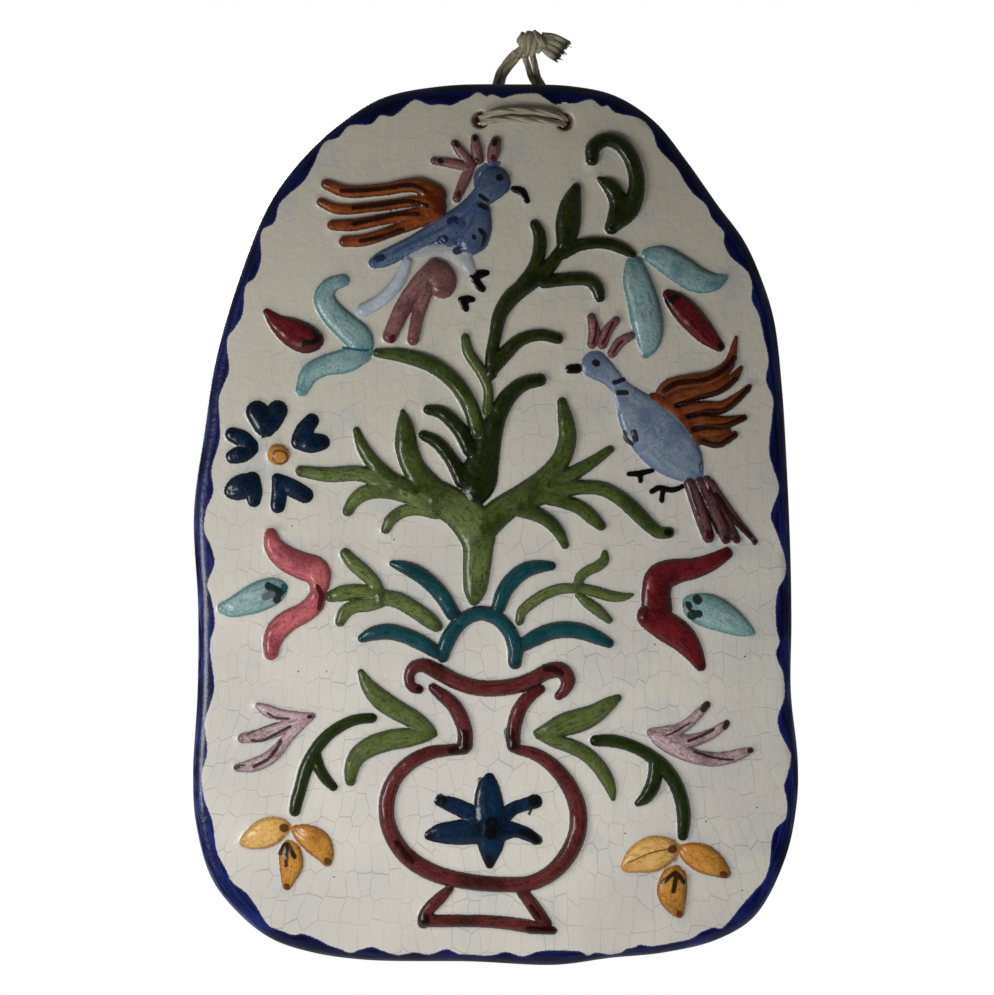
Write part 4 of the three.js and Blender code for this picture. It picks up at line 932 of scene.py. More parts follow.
# %% Trumpet flowers
lay("pink",
    [(-79.2, -60.3, 1.6), (-76.4, -61.9, 3.6), (-72, -63.3, 3.4), (-67, -63.8, 2.8),
     (-61.2, -63.8, 1.8)],
    [(-84.4, -71.2, 3), (-79, -70.3, 4), (-74, -68.7, 4.2), (-68.4, -66.5, 3.4), (-62.2, -64.2, 2)],
    [(-86, -81, 2.4), (-81.4, -80.3, 4), (-76.8, -78.5, 4.2), (-73, -75.5, 4), (-69.8, -71.6, 3.2),
     (-65.6, -67.4, 2.6), (-61.8, -64.4, 1.8)],
    [(51.6, -69.2, 2.4), (57, -69.2, 4), (61.4, -67.9, 3.4), (65.2, -65.2, 3), (68.2, -62.2, 2.6),
     (70.2, -60.2, 2)],
    [(52, -69.6, 2.4), (58, -72, 5), (63.6, -72.2, 4.2), (68.2, -71.2, 3.6), (72.4, -69.3, 3),
     (76.4, -66.6, 2)],
    [(51.4, -69.6, 2), (55, -71.6, 5), (60, -74.6, 5.2), (66, -77.2, 4.6), (72.4, -78.2, 4.4),
     (78.4, -77.4, 3.8), (82, -76.2, 3), (84.7, -75.2, 1.8)])
paint("plum", 1, (-76, -62.7), (-74, -64), (-69, -64.7))
paint("plum", 1.2, (-81.3, -71.8), (-78, -72), (-73, -69.5), (-68.5, -67.2))
paint("plum", 0.6, (-83, -70), (-78, -67.8), (-73, -66))
paint("plum", 1.2, (-87, -81), (-84, -80.2))
paint("plum", 1.4, (-80.5, -80.5), (-76, -78), (-73, -74.5), (-71.5, -72))
paint("plum", 1.6, (-62.2, -64), (-61.8, -64))
paint("plum", 2.4, (69, -61.5), (70.4, -59.9))
paint("plum", 2.2, (76.3, -67.5), (77, -66))
paint("plum", 1.8, (84.4, -75.3), (84.8, -75.3))
paint("plum", 1.2, (64, -72), (69, -70), (72.5, -68.2))
paint("plum", 1, (66, -75.5), (71, -77.2), (75, -78), (79, -78.3))
paint("plum", 0.8, (56.5, -70.3), (60, -68.7), (64.5, -66))
told("trumpet flowers")

# %% [markdown]
# A yellow three-petalled flower hangs in each lower corner. The petals are short fat almonds with
# a ring of brown at the tip.

# %% Corner flowers
lay("honey",
    [(-84, -105.9, 2.8), (-80.6, -104.6, 7), (-76.4, -102.7, 9.6), (-73, -101.3, 7.4),
     (-70.3, -100.8, 3.8)],
    [(44, -113.6, 4.6), (47.6, -111.4, 8.8), (52, -109.8, 11.6), (56.2, -108.5, 8.4),
     (59.2, -108, 3.8)])
lay("orange",
    [(-66.5, -101.9, 3.2), (-63.2, -103.6, 7), (-59.6, -106, 8.6), (-57.2, -109.4, 6),
     (-56.2, -112.3, 3)],
    [(-69.2, -106.4, 2.6), (-68.5, -109.6, 7), (-68.2, -113.2, 7.6), (-69, -117.2, 5),
     (-69.6, -120.3, 2.8)],
    [(62, -108.3, 2.6), (65, -109.6, 6.8), (69, -111.3, 9.2), (73, -113.6, 7), (76.5, -116.2, 3.2)],
    [(60, -115.6, 4), (59, -119, 9), (58.6, -122.4, 9.6), (59.6, -126.4, 6.6), (60.9, -129.4, 3.2)])
paint("brown", 3, (-70.7, -100.9), (-70.3, -101.1))
paint("brown", 2.4, (-56.3, -111.9), (-56, -112.2))
paint("soot", 1.8, (-72, -109.5), (-69.8, -106.5), (-67, -110.5))
paint("soot", 1.6, (-69.8, -107), (-69.8, -113.5))
paint("brown", 2, (-69.7, -120.3), (-69.7, -120.9))
paint("brown", 0.6, (44, -112.5), (52, -109), (58, -107.8))
paint("brown", 3, (58.6, -108), (59, -108))
paint("brown", 2.6, (75.6, -116.4), (76, -116.7))
paint("soot", 1.7, (55.5, -119), (59.8, -116), (62.5, -119))
paint("soot", 1.8, (60, -116.5), (59, -122))
paint("brown", 2, (61, -129.3), (61, -129.9))
told("corner flowers")

# %% [markdown]
# A few specks of dirt fired into the white glaze, as in any small kiln.

# %% Specks
SPECK_WIDTH = 0.75
SPECKS = (
    (-68, -0.5), (-34, -5), (-56.5, -49), (-66, -49), (53, -40), (83, -44), (87, -94.3),
    (-54, -117.5), (70, -99), (82, -122), (43, -103),
)
for x, z in SPECKS:
    paint("soot", SPECK_WIDTH, (x, z), (x + 0.2, z - 0.15))
told("specks")

# %% [markdown]
# The whole plaque is one fired piece, so it is one closed mesh. Its points are set out on the
# plan first: close together where a coil swells, where a brush line runs and along the scalloped
# border, and wide apart on the plain ground.

# %% Plan points
BLOCK = 3000
GLAZE_SKIN = 0.3
RIM_ROWS = (0.14, 0.55, 1.2, 2.1, 3.1, 4.3)
HOLE_ROWS = (0.12, 0.4, 0.8, 1.5)
BORDER_ROWS = (0, -0.5, 0.5, -1.2, 1.2)
GROUND_STEP, GROUND_SHAKE = 2.1, 0.6


def rows_beside(line, offsets):
    """Copies of a plan line moved sideways, each by a number or by one number per point."""
    heading = np.gradient(line[:, :2], axis=0)
    heading /= np.linalg.norm(heading, axis=1)[:, None] + 1e-9
    side = np.stack([-heading[:, 1], heading[:, 0]], axis=1)
    return np.vstack([line[:, :2] + side * np.reshape(o, (-1, 1)) for o in offsets])


def fan(centre, radii, count):
    """Plan points on circles round a centre."""
    turns = np.linspace(0, 2 * math.pi, count, endpoint=False)
    return np.array([(centre[0] + r * math.cos(t), centre[1] + r * math.sin(t))
                     for r in radii for t in turns])


class Scatter:
    """Plan points that keep a least distance from those already there."""

    def __init__(self, cell=0.5):
        self.cell, self.cells, self.points = cell, {}, []

    def add(self, points, gap):
        reach, limit = math.ceil(gap / self.cell), gap * gap
        for x, z in np.asarray(points)[:, :2].tolist():
            i, j = math.floor(x / self.cell), math.floor(z / self.cell)
            if all((x - a) ** 2 + (z - b) ** 2 >= limit
                   for m in range(i - reach, i + reach + 1)
                   for n in range(j - reach, j + reach + 1)
                   for a, b in self.cells.get((m, n), ())):
                self.cells.setdefault((i, j), []).append((x, z))
                self.points.append((x, z))


def nearest_on(points, line):
    """For each point: its distance to a line, the line's half width there, the length along the
    line, and the side of it that the point is on, as 1 or -1."""
    if len(points) > BLOCK:
        parts = [nearest_on(points[k:k + BLOCK], line) for k in range(0, len(points), BLOCK)]
        return tuple(np.concatenate(values) for values in zip(*parts))
    a, b = line[:-1], line[1:]
    along = b[:, :2] - a[:, :2]
    length2 = (along**2).sum(1) + 1e-12
    away = points[:, None] - a[None, :, :2]
    t = np.clip((away * along).sum(2) / length2, 0, 1)
    miss = away - t[..., None] * along
    distance = np.linalg.norm(miss, axis=2)
    half = (a[:, 2] + (b - a)[:, 2] * t) / 2 if line.shape[1] > 2 else np.zeros_like(t)
    best = np.argmin(distance - half, axis=1)
    pick = np.arange(len(points)), best
    start = np.r_[0, np.cumsum(np.sqrt(length2))][:-1]
    side = np.sign(along[best, 0] * miss[pick][:, 1] - along[best, 1] * miss[pick][:, 0])
    return distance[pick], half[pick], start[best] + t[pick] * np.sqrt(length2[best]), side


def beside_ring(points, ring):
    """Each point's distance to a closed ring of close points, and the length along it there."""
    tree = kdtree.KDTree(len(ring))
    for k, (x, z) in enumerate(ring):
        tree.insert((x, z, 0), k)
    tree.balance()
    close = np.array([tree.find((x, z, 0))[1] for x, z in points])
    found = []
    for shift in (-1, 0):
        a, b = ring[(close + shift) % len(ring)], ring[(close + shift + 1) % len(ring)]
        t = ((points - a) * (b - a)).sum(1) / ((b - a) ** 2).sum(1)
        t = np.clip(t, 0, 1)[:, None]
        found.append(np.hypot(*(points - a - t * (b - a)).T))
    return np.minimum(*found), travelled(ring)[close]


def inside(points, ring):
    """True for each point inside a closed ring, by counting crossings."""
    if len(points) > BLOCK:
        return np.concatenate([inside(points[k:k + BLOCK], ring)
                               for k in range(0, len(points), BLOCK)])
    x, z = points[:, :1], points[:, 1:2]
    a, b = ring, np.roll(ring, -1, axis=0)
    crosses = (a[:, 1] > z) != (b[:, 1] > z)
    slope = (b[:, 0] - a[:, 0]) / np.where(b[:, 1] == a[:, 1], 1, b[:, 1] - a[:, 1])
    return (crosses & (x < a[:, 0] + (z - a[:, 1]) * slope)).sum(1) % 2 == 1


coil_lines = [(glaze, smooth_route([(x, z, w + GLAZE_SKIN) for x, z, w in coil], 0.95))
              for glaze, coil in COILS]
paint_lines = [(colour, smooth_route([(*p, width) for p in places], 0.7))
               for colour, width, places in STROKES]
turning = -1 if inside(rows_beside(outline, [1.0]), outline).mean() < 0.5 else 1
scatter = Scatter()
scatter.add(outline, 0)
for hole in HOLES:
    scatter.add(fan(hole, [HOLE_RADIUS], HOLE_SIDES), 0)
scatter.add(rows_beside(outline, [turning * d for d in RIM_ROWS]), 0.1)
for hole in HOLES:
    scatter.add(fan(hole, [HOLE_RADIUS + d for d in HOLE_ROWS], HOLE_SIDES), 0.1)
scatter.add(rows_beside(border, BORDER_ROWS), 0.3)
for colour, line in paint_lines:
    half = line[:, 2] / 2
    scatter.add(rows_beside(line, [0 * half, half, -half, half + 0.35, -half - 0.35]), 0.27)
for glaze, line in coil_lines:
    half = line[:, 2] / 2
    count = int(np.clip(math.ceil(half.max() / 0.5) + 1, 3, 8))
    turns = [math.sin(math.pi / 2 * k / count) for k in range(1, count + 1)]
    scatter.add(rows_beside(line, [half * u * s for u in turns for s in (1, -1)]), 0.29)
    scatter.add(rows_beside(line, [(half + d) * s for d in (0.4, 1.0) for s in (1, -1)]), 0.34)
    scatter.add(line, 0.4)
    for end in (line[0], line[-1]):
        scatter.add(fan(end, [end[2] / 2 * u for u in turns] + [end[2] / 2 + 0.4], 14), 0.29)
chance = random.Random(3)
ground = [(x + chance.uniform(-GROUND_SHAKE, GROUND_SHAKE),
           z + chance.uniform(-GROUND_SHAKE, GROUND_SHAKE))
          for x in np.arange(-110, 110, GROUND_STEP) for z in np.arange(-165, 165, GROUND_STEP)]
scatter.add(ground, 1.0)
plan = np.array(scatter.points)
print(len(plan), "plan points")

# %% [markdown]
# Triangles join neighbouring points. Those outside the outline or over a hole are dropped.

# %% Triangles of the face
rings = [list(range(len(outline)))]
for k in range(len(HOLES)):
    start = len(outline) + HOLE_SIDES * k
    rings.append(list(range(start, start + HOLE_SIDES)))
keep = inside(plan, outline) & (to_holes(plan) > HOLE_RADIUS)
keep[:rings[-1][-1] + 1] = True
plan = plan[keep]
edges = [(a, b) for ring in rings for a, b in zip(ring, ring[1:] + ring[:1])]
found = delaunay_2d_cdt([Vector(p) for p in plan], edges, [], 0, 1e-7)
moved = {}
for new, olds in enumerate(found[3]):
    for old in olds:
        moved[old] = new
plan = np.array(found[0])
rings = [[moved[v] for v in ring] for ring in rings]
triangles = np.array(found[2])
middle = plan[triangles].mean(1)
good = inside(middle, plan[rings[0]]) & (to_holes(middle) > HOLE_RADIUS * 0.995)
triangles = triangles[good]
print(len(triangles), "triangles on the face")

# %% [markdown]
# The height of each point follows how the clay was worked. A coil is pressed down, so it is
# lower than it is wide, with steep sides, a soft crest and a small fillet of slip at its foot.
# Where coils meet they melt together. The slab itself is never quite flat.

# %% Heights and glaze places
COIL_RISE, RISE_MOST, SLIP_FILLET = 0.5, 2.6, 0.28
COVER_REACH = 3.5
NOTHING_NEAR = 30.0
MELT = 6
LOW_GLAZES = {"soot": 0.28, "pale slate": 0.2, "ice": 0.4, "dove": 0.14,
              "slate": 0.3, "navy": 0.24, "duck egg": 0.24, "crimson": 0.32, "yellow": 0.34,
              "honey": 0.3, "orange": 0.32}


def ripple(*waves):
    """Smooth unevenness of the face: for each wave its height, its length in mm and a seed."""
    return sum(tall * np.array([noise.noise((x / long, z / long, seed)) for x, z in plan])
               for tall, long, seed in waves)


class Field:
    """What covers each point of a set: the nearest line, and where on it the point lies."""

    def __init__(self, points):
        self.points = points
        self.outside = np.full(len(points), NOTHING_NEAR)
        self.score = np.full(len(points), -NOTHING_NEAR)
        self.across = np.ones(len(points))
        self.brush = np.zeros((len(points), 3))
        self.tip = np.zeros(len(points))
        self.crest = np.zeros((len(points), 4)) + (0.5, 0.5, 0.5, 1)
        self.pool = self.crest.copy()
        self.rise = np.zeros(len(points))

    def cover(self, line, seed, crest, pool, top=None):
        """Lays one line over the points near it. top is a coil's height over its width."""
        margin = line[:, 2].max() / 2 + COVER_REACH
        low, high = line[:, :2].min(0) - margin, line[:, :2].max(0) + margin
        near = np.where(((self.points > low) & (self.points < high)).all(1))[0]
        if not len(near):
            return
        distance, half, along, side = nearest_on(self.points[near], line)
        outside = distance - half
        u = np.minimum(distance / half, 1)
        swell = np.zeros(len(near))
        if top:
            swell = np.minimum(half * 2 * top, RISE_MOST) * (1 - u**2.8) ** 0.58
            self.rise[near] += swell**MELT
        score = np.where(outside < 0, 0.01 + swell - outside * 0.02, -outside)
        wins = score > self.score[near]
        at = near[wins]
        self.score[at] = score[wins]
        self.across[at] = u[wins]
        self.brush[at] = np.stack([along, distance * side, np.full(len(near), seed)], 1)[wins]
        to_end = np.minimum(along, along.max() - along)
        self.tip[at] = np.exp(-to_end / (0.7 * half + 0.8))[wins]
        self.crest[at], self.pool[at] = crest, pool
        self.outside[near] = np.minimum(self.outside[near], outside)


relief = Field(plan)
for k, (glaze, line) in enumerate(coil_lines):
    crest, pool = (linear(*c) for c in GLAZES[glaze])
    relief.cover(line, k * 3.7, crest, pool, LOW_GLAZES.get(glaze, COIL_RISE))
painted = Field(plan)
for k, (colour, line) in enumerate(paint_lines):
    painted.cover(line, k * 2.3, linear(*PAINTS[colour]), (0, 0, 0, 1))

rim, rim_along = beside_ring(plan, outline)
into_border, _ = beside_ring(plan, border)
into_border[inside(plan, border)] *= -1
to_hole = to_holes(plan) - HOLE_RADIUS


def rounded(distance, radius, drop):
    """How far a surface falls towards an edge that is rounded like a quarter of an ellipse."""
    t = 1 - np.clip(distance / radius, 0, 1)
    return drop * (1 - np.sqrt(1 - t**2))


rise = relief.rise ** (1 / MELT) * (1 + ripple((0.14, 5, 1), (0.09, 2, 2)))
fillet = SLIP_FILLET * np.exp(-(np.maximum(relief.outside, 0) / 0.55))
stroke_ridge = 0.07 * np.clip(-painted.outside / 0.3, 0, 1)
calm = np.clip(np.minimum(rim / 6, to_hole / 3), 0, 1)
slab = ripple((0.34, 46, 5), (0.13, 15, 6), (0.05, 5, 7))
height = (THICKNESS + slab * calm + np.maximum(rise, fillet) + stroke_ridge
          - rounded(rim, EDGE_ROUND, EDGE_DROP) - rounded(np.maximum(to_hole, 0), 0.9, 0.8))
print("face from", height.min().round(2), "to", height.max().round(2), "mm in front of the wall")

# %% [markdown]
# The rim is rounded with a wet finger, front and back, and the flat back is left as bare clay
# where it lay on the kiln shelf. The glaze laps round the edge and stops just short of the back.
# Each cord hole was pricked from both sides, so it is narrowest inside and the cord fills it.

# %% Rim, back and hole walls
HOLE_WAISTS = ((0.45, 0.5, 0.4, 0.6), (-0.5, 0.5, -0.5, 0.55))
GLAZED_RIM_STEPS, GLAZED_HOLE_STEPS = 5, 1
BACK_STEP, BACK_EDGE_GAP, BACK_HOLE_GAP = 9.0, 7, 4
BACK_HOLE_FLARE = 0.6
points = [(x, -h, z) for (x, z), h in zip(plan, height)]
rim_place = [(a, d) for a, d in zip(rim_along, rim)]


def band(upper, lower):
    """Joins two rings of the same number of points with quads."""
    return [(a, b, d, c) for a, b, c, d in
            zip(upper, upper[1:] + upper[:1], lower, lower[1:] + lower[:1])]


def ring_at(ring, shift, y, middle=None):
    """A copy of a ring moved outward (or inward, below zero) by shift, at depth y. A ring with a
    middle is a hole: it becomes a circle of radius shift about that point."""
    flat = plan[ring]
    if middle is not None:
        away = (flat - flat.mean(0)) / HOLE_RADIUS
        flat = np.broadcast_to(np.array(middle), flat.shape)
    else:
        heading = np.roll(flat, -1, axis=0) - np.roll(flat, 1, axis=0)
        heading /= np.linalg.norm(heading, axis=1)[:, None]
        away = np.stack([heading[:, 1], -heading[:, 0]], 1) * turning
    start = len(points)
    points.extend((x, y, z) for x, z in flat + away * shift)
    rim_place.extend((rim_along[v], y) for v in ring)
    return list(range(start, len(points)))


glazed_walls, bare_walls, back_rings = [], [], []
# Each step of the rim is how far out it lies and its distance from the wall. A step of a hole is
# its radius, its distance from the wall and its middle, which strays at the two waists.
rim_steps = ((0.12, 5.4), (0.1, 4.2), (0, 3.0), (-0.25, 1.9), (-0.8, 0.95), (-1.6, 0.3),
             (-2.8, 0.0))
hole_steps = [[(2.9, 8.6, x, z), (2.75, 7.6, x, z), (2.35, 6.4, x + a, z + b),
               (1.75, 4.6, x + a, z + b), (1.8, 2.6, x + c, z + d), (2.2, 1.2, x + c, z + d),
               (2.9, 0.35, x, z), (3.5, 0.0, x, z)]
              for (x, z), (a, b, c, d) in zip(HOLES, HOLE_WAISTS)]
for ring, steps in zip(rings, [rim_steps] + hole_steps):
    glazed_count = GLAZED_RIM_STEPS if steps is rim_steps else GLAZED_HOLE_STEPS
    last = ring
    for k, (shift, depth, *middle) in enumerate(steps):
        new = ring_at(ring, shift, -depth, middle or None)
        (glazed_walls if k < glazed_count else bare_walls).extend(band(last, new))
        last = new
    back_rings.append(last)
back_grid = np.array([(x, z) for x in np.arange(-100, 101, BACK_STEP)
                      for z in np.arange(-150, 151, BACK_STEP)])
clear = inside(back_grid, outline) & (beside_ring(back_grid, outline)[0] > BACK_EDGE_GAP)
clear &= to_holes(back_grid) > HOLE_RADIUS + BACK_HOLE_GAP
back_plan = [Vector((points[v][0], points[v][2])) for ring in back_rings for v in ring]
back_names = [v for ring in back_rings for v in ring]
sizes = np.cumsum([0] + [len(r) for r in back_rings])
edges = [(a + k, a + (k + 1) % n) for a, n in zip(sizes, np.diff(sizes)) for k in range(n)]
for x, z in back_grid[clear]:
    back_names.append(len(points))
    points.append((x, 0.0, z))
    rim_place.append((0.0, 0.0))
    back_plan.append(Vector((x, z)))
found = delaunay_2d_cdt(back_plan, edges, [], 0, 1e-7)
name_of = [back_names[olds[0]] for olds in found[3]]
back = np.array(found[2])
middle = np.array(found[0])[back].mean(1)
good = inside(middle, np.array([(points[v][0], points[v][2]) for v in back_rings[0]]))
good &= to_holes(middle) > (HOLE_RADIUS + BACK_HOLE_FLARE) * 0.995
back_faces = [tuple(name_of[v] for v in t)[::-1] for t in back[good]]
glazed = [tuple(t) for t in triangles] + glazed_walls
bare = bare_walls + back_faces
print(len(points), "points,", len(glazed), "glazed and", len(bare), "bare faces")

# %% [markdown]
# White tin glaze covers the face. It has crazed with age into a net of fine grey cracks, a few
# millimetres apart and longer than wide, and dust has made some stretches darker than others. It
# is painted warmer towards the top as painted shade, and bluish grey at the foot of each coil,
# where glaze pools and painted shade lies beside the coil. The coloured glazes lie over it: thin
# and bright on each crest, dark where they pooled and with painted shade on the coils' sides,
# streaky along the brush. Cobalt is brushed round the rim in one wavy band, with painted shade
# darkening it towards the top and along the bottom edge, and lighter where it breaks thin over
# the rounded edge, there with a painted highlight. Clear gloss covers it all.

# %% Fired glaze
def glaze_material():
    """White, cobalt and coloured glaze, painted lines and crackle under one clear gloss."""
    recipe = Recipe("fired glaze")
    place = recipe.scaled(recipe.node("TexCoord", "Object"), 1000, 300, 1000)
    wander = recipe.noise(place, 0.11, 2.0)
    grain = recipe.noise(place, 1.4, 3.0, 0.6)
    broad = recipe.noise(place, 0.022, 2.0)
    patch = recipe.noise(place, 0.07, 3.0)

    bent = recipe.node("VectorMath", settings={"operation": "SCALE"}, Scale=9.0, i0=recipe.node(
        "TexNoise", 1, Vector=place, Scale=0.05, Detail=1.5))
    bent = recipe.node("VectorMath", settings={"operation": "ADD"}, i1=bent,
                       i0=recipe.attribute("net_place", "Vector"))
    edge = {"feature": "DISTANCE_TO_EDGE"}
    net = recipe.node("TexVoronoi", settings=edge, Vector=recipe.scaled(bent, 1, 0.2, 0.55),
                      Scale=0.2, Randomness=0.48)
    fine = recipe.node("TexVoronoi", settings=edge, Vector=place, Scale=0.8)
    speck = recipe.noise(place, 0.85, 2.0, 0.6)
    cracks = recipe.ramp(net, 0.004, 0.03, 1.0, 0.0)
    cracks = recipe.math("MULTIPLY", cracks, recipe.ramp(patch, 0.36, 0.6, 0.35, 1.0))
    high = recipe.node("SeparateXYZ", 2, Vector=place)
    cracks = recipe.math("MULTIPLY", cracks, recipe.ramp(high, -90, 130, 1.0, 0.4))
    veins = recipe.ramp(fine, 0.01, 0.09, 1.0, 0.0)

    outside = recipe.attribute("coil_gap")
    border = recipe.attribute("border_depth")
    painted = recipe.attribute("paint_gap")
    loose = recipe.node("Math", settings={"operation": "MULTIPLY_ADD"}, i0=grain, i1=0.5, i2=-0.25)

    white = recipe.mix(recipe.ramp(broad, 0.35, 0.65), linear(224, 220, 209), linear(214, 210, 202))
    # Painted shade: the white turns warmer and a little darker towards the top.
    white = recipe.mix(recipe.ramp(high, -60, 120, 0.0, 0.8), white, linear(222, 215, 194))
    white = recipe.mix(recipe.ramp(patch, 0.52, 0.75, 0.0, 0.5), white, linear(196, 200, 202))
    # Bluish grey at the foot of each coil: glaze pooled there, with painted shade beside the coil.
    white = recipe.mix(recipe.ramp(outside, 0.1, 1.7, 0.3, 0.0), white, linear(182, 188, 190))
    white = recipe.mix(recipe.math("MULTIPLY", cracks, 0.42), white, linear(116, 102, 84))

    round_rim = recipe.node("CombineXYZ", X=recipe.attribute("rim_along"),
                            Y=recipe.attribute("rim_gap"))
    sweep = recipe.noise(recipe.scaled(round_rim, 0.07, 0.8, 1), 1.0, 3.0, 0.6)
    cobalt = recipe.mix(recipe.ramp(sweep, 0.36, 0.66), linear(9, 13, 52), linear(34, 46, 116))
    # Lighter blue where the glaze breaks thin over the rounded edge and wall, with a painted
    # highlight.
    thin_edge_and_highlight = recipe.math("MULTIPLY", recipe.ramp(recipe.attribute("rim_gap"), 0.2, 1.8, 0.7, 0.0),
                       recipe.ramp(sweep, 0.42, 0.6))
    cobalt = recipe.mix(thin_edge_and_highlight, cobalt, linear(120, 128, 178))
    cobalt = recipe.mix(recipe.ramp(broad, 0.48, 0.6, 0.0, 0.6), cobalt, linear(8, 10, 40))
    # Painted shade: the cobalt is darker towards the top and darkest along the bottom edge.
    cobalt = recipe.mix(recipe.ramp(high, 20, 120, 0.0, 0.6), cobalt, linear(12, 16, 44))
    cobalt = recipe.mix(recipe.ramp(high, -150, -134, 0.8, 0.0), cobalt, linear(7, 8, 26))
    cobalt = recipe.mix(recipe.ramp(border, 0.0, 0.9, 0.22, 0.0), cobalt, linear(84, 100, 170))
    ragged = recipe.math("ADD", border, recipe.math("MULTIPLY", loose, 1.6))
    colour = recipe.mix(recipe.ramp(ragged, -0.12, 0.16), white, cobalt)

    brush = recipe.attribute("brush", "Vector")
    crest, pool = (recipe.attribute(name, "Color") for name in ("crest_colour", "pool_and_shade_colour"))
    streak = recipe.noise(recipe.scaled(brush, 0.2, 1.5, 1), 1.0, 4.0, 0.6)
    # Towards each coil's sides the colour turns to the darker one: pooled glaze, and painted shade
    # there.
    depth = recipe.ramp(recipe.attribute("across"), 0.6, 1.0, 0.0, 0.8)
    depth = recipe.math("MAXIMUM", depth, recipe.ramp(streak, 0.46, 0.7, 0.0, 0.7))
    depth = recipe.math("MAXIMUM", depth, recipe.ramp(patch, 0.48, 0.66, 0.0, 0.65))
    depth = recipe.math("MAXIMUM", depth, recipe.math("MULTIPLY", recipe.attribute("tip"), 0.7))
    coil = recipe.mix(depth, crest, pool)
    coil = recipe.mix(recipe.ramp(grain, 0.5, 0.72, 0.0, 0.6), coil, crest)
    coil = recipe.mix(recipe.math("MULTIPLY", veins, recipe.ramp(wander, 0.4, 0.7, 0.1, 0.6)),
                      coil, pool)
    coil = recipe.mix(recipe.ramp(speck, 0.53, 0.65, 0.0, 0.42), coil, pool)
    near_coil = recipe.math("ADD", outside, loose)
    colour = recipe.mix(recipe.ramp(near_coil, -0.08, 0.22, 1.0, 0.0), colour, coil)

    line = recipe.math("ADD", painted, loose)
    colour = recipe.mix(recipe.ramp(line, -0.3, 0.16, 0.93, 0.0), colour,
                        recipe.attribute("paint_colour", "Color"))

    relief = recipe.bump(recipe.noise(place, 0.45, 3.0), 0.00022, 0.9)
    relief = recipe.bump(grain, 0.00003, 0.6, relief)
    relief = recipe.bump(cracks, 0.00003, -0.5, relief)
    return recipe.finish(Base_Color=colour, Roughness=recipe.ramp(grain, 0.3, 0.8, 0.26, 0.46),
                         Specular_IOR_Level=0.4, Normal=relief, Coat_Weight=0.25,
                         Coat_Roughness=0.1)


def clay_material():
    """Bare fired clay: pale, warm and dull, with a little grog and kiln dust."""
    recipe = Recipe("bare clay")
    place = recipe.scaled(recipe.node("TexCoord", "Object"), 1000, 1000, 1000)
    cloud, grit = recipe.noise(place, 0.05, 6.0, 0.65), recipe.noise(place, 1.3, 4.0, 0.7)
    tone = recipe.mix(recipe.ramp(cloud, 0.35, 0.65), linear(206, 180, 152), linear(192, 160, 130))
    tone = recipe.mix(recipe.ramp(grit, 0.56, 0.7, 0.0, 0.55), tone, linear(146, 112, 86))
    normal = recipe.bump(grit, 0.00012, 0.7)
    return recipe.finish(Base_Color=tone, Roughness=0.9, Normal=normal)


# %% [markdown]
# The closed mesh carries, at each point, what the glaze needs to know: how far it is from the
# nearest coil, the border and the nearest brush line, and those colours.

# %% Plaque
HOLE_REACH = 6.0
count, front = len(points), len(plan)


def every(values, rest):
    """Values of the face's points, followed by the same rest for the rim and back."""
    values = np.asarray(values, float)
    tail = np.broadcast_to(rest, (count - front, *values.shape[1:]))
    return np.concatenate([values, tail])


# The cracks run up from the bottom edge and fan out towards the two lower corners.
flat = np.array([(x, z) for x, _, z in points])
middle = np.clip(flat[:, 0], -35, 35)
spread = np.interp(flat[:, 1], (-145, -60), (0.8, 1.3))
net_place = np.stack([middle + (flat[:, 0] - middle) * spread, np.zeros(count), flat[:, 1]], 1)
border_depth = np.where(to_holes(flat) < HOLE_REACH, -3.0, every(into_border, 6.0))
grey = (0.3, 0.3, 0.3, 1)
plaque = add_mesh("plaque_glazed", points, glazed + bare, [glaze_material(), clay_material()], {
    "coil_gap": every(relief.outside, 30.0), "across": every(relief.across, 1.0),
    "tip": every(relief.tip, 0.0), "brush": every(relief.brush, 0.0),
    "crest_colour": every(relief.crest, grey), "pool_and_shade_colour": every(relief.pool, grey),
    "paint_gap": every(painted.outside, 30.0), "paint_colour": every(painted.crest, grey),
    "border_depth": border_depth, "net_place": net_place,
    "rim_along": [p[0] for p in rim_place], "rim_gap": [p[1] for p in rim_place]})
plaque.data.polygons.foreach_set("material_index", [0] * len(glazed) + [1] * len(bare))
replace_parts(plaque, "plaque")

# %% [markdown]
# A pale floor lies well below the plaque, because the plaque hangs from its nail.

# %% Floor
FLOOR_Z = -0.42
bpy.ops.mesh.primitive_circle_add(vertices=96, radius=0.55, fill_type="NGON",
                                  location=(0, -0.1, FLOOR_Z))
floor = bpy.context.object
floor.name = "floor"
floor.data.materials.append(Recipe("pale floor").finish(Base_Color=linear(226, 224, 220),
                                                        Roughness=0.7))

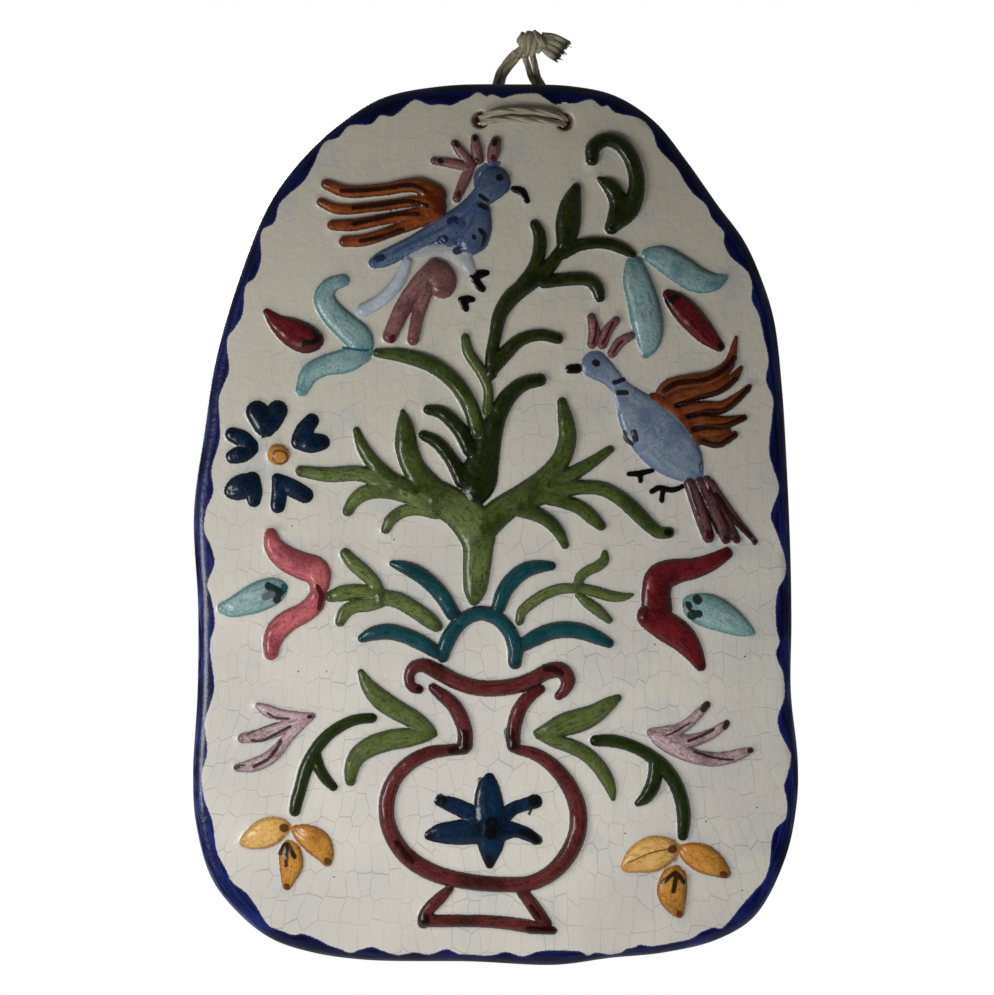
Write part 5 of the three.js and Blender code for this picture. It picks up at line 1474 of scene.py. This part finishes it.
# %% [markdown]
# One soft light stands close on the left and a weaker glow close in front of the lower half, so
# the plaque is dimmest at its top and on its right, and the coils throw short shadows away from
# both. The glow leaves no glints. The rest of the room is dim, darkest straight in front so that
# the gloss doesn't grey the dark glazes, and all behind is white.

# %% Lights
def soft_light(name, place, target, size, power):
    """A round light at a place, turned to its target."""
    data = bpy.data.lights.new(name, "AREA")
    data.shape, data.size, data.energy = "DISK", size, power
    light = bpy.data.objects.new(name, data)
    light.location = place
    light.rotation_euler = (Vector(target) - Vector(place)).to_track_quat("-Z", "Y").to_euler()
    scene.collection.objects.link(light)
    return light


soft_light("window", (-0.3, -0.26, -0.06), (-0.02, 0.0, -0.04), 0.16, 0.66)
glow = soft_light("glow", (0.0, -0.22, -0.105), (0.0, 0.0, -0.105), 0.1, 0.21)
glow.visible_glossy = glow.visible_camera = False
soft_light("back fill", (-0.6, 1.2, 0.5), (0, 0, 0), 0.8, 12)

world = bpy.data.worlds.new("white room")
scene.world = world
world.use_nodes = True
nodes, links = world.node_tree.nodes, world.node_tree.links
direction = nodes.new("ShaderNodeSeparateXYZ")
links.new(nodes.new("ShaderNodeTexCoord").outputs["Generated"], direction.inputs[0])
dim = nodes.new("ShaderNodeMapRange")
dim.interpolation_type = "SMOOTHSTEP"
for place, value in zip((1, 2, 3, 4), (-0.95, -0.5, 0.02, 0.12)):
    dim.inputs[place].default_value = value
links.new(direction.outputs["Y"], dim.inputs[0])
room = nodes["Background"]
room.inputs["Color"].default_value = (1.0, 0.99, 0.95, 1.0)
links.new(dim.outputs[0], room.inputs["Strength"])
white = nodes.new("ShaderNodeBackground")
white.inputs["Color"].default_value = (1, 1, 1, 1)
choice = nodes.new("ShaderNodeMixShader")
links.new(nodes.new("ShaderNodeLightPath").outputs["Is Camera Ray"], choice.inputs[0])
links.new(room.outputs[0], choice.inputs[1])
links.new(white.outputs[0], choice.inputs[2])
links.new(choice.outputs[0], nodes["World Output"].inputs["Surface"])
scene.view_settings.view_transform = "Standard"
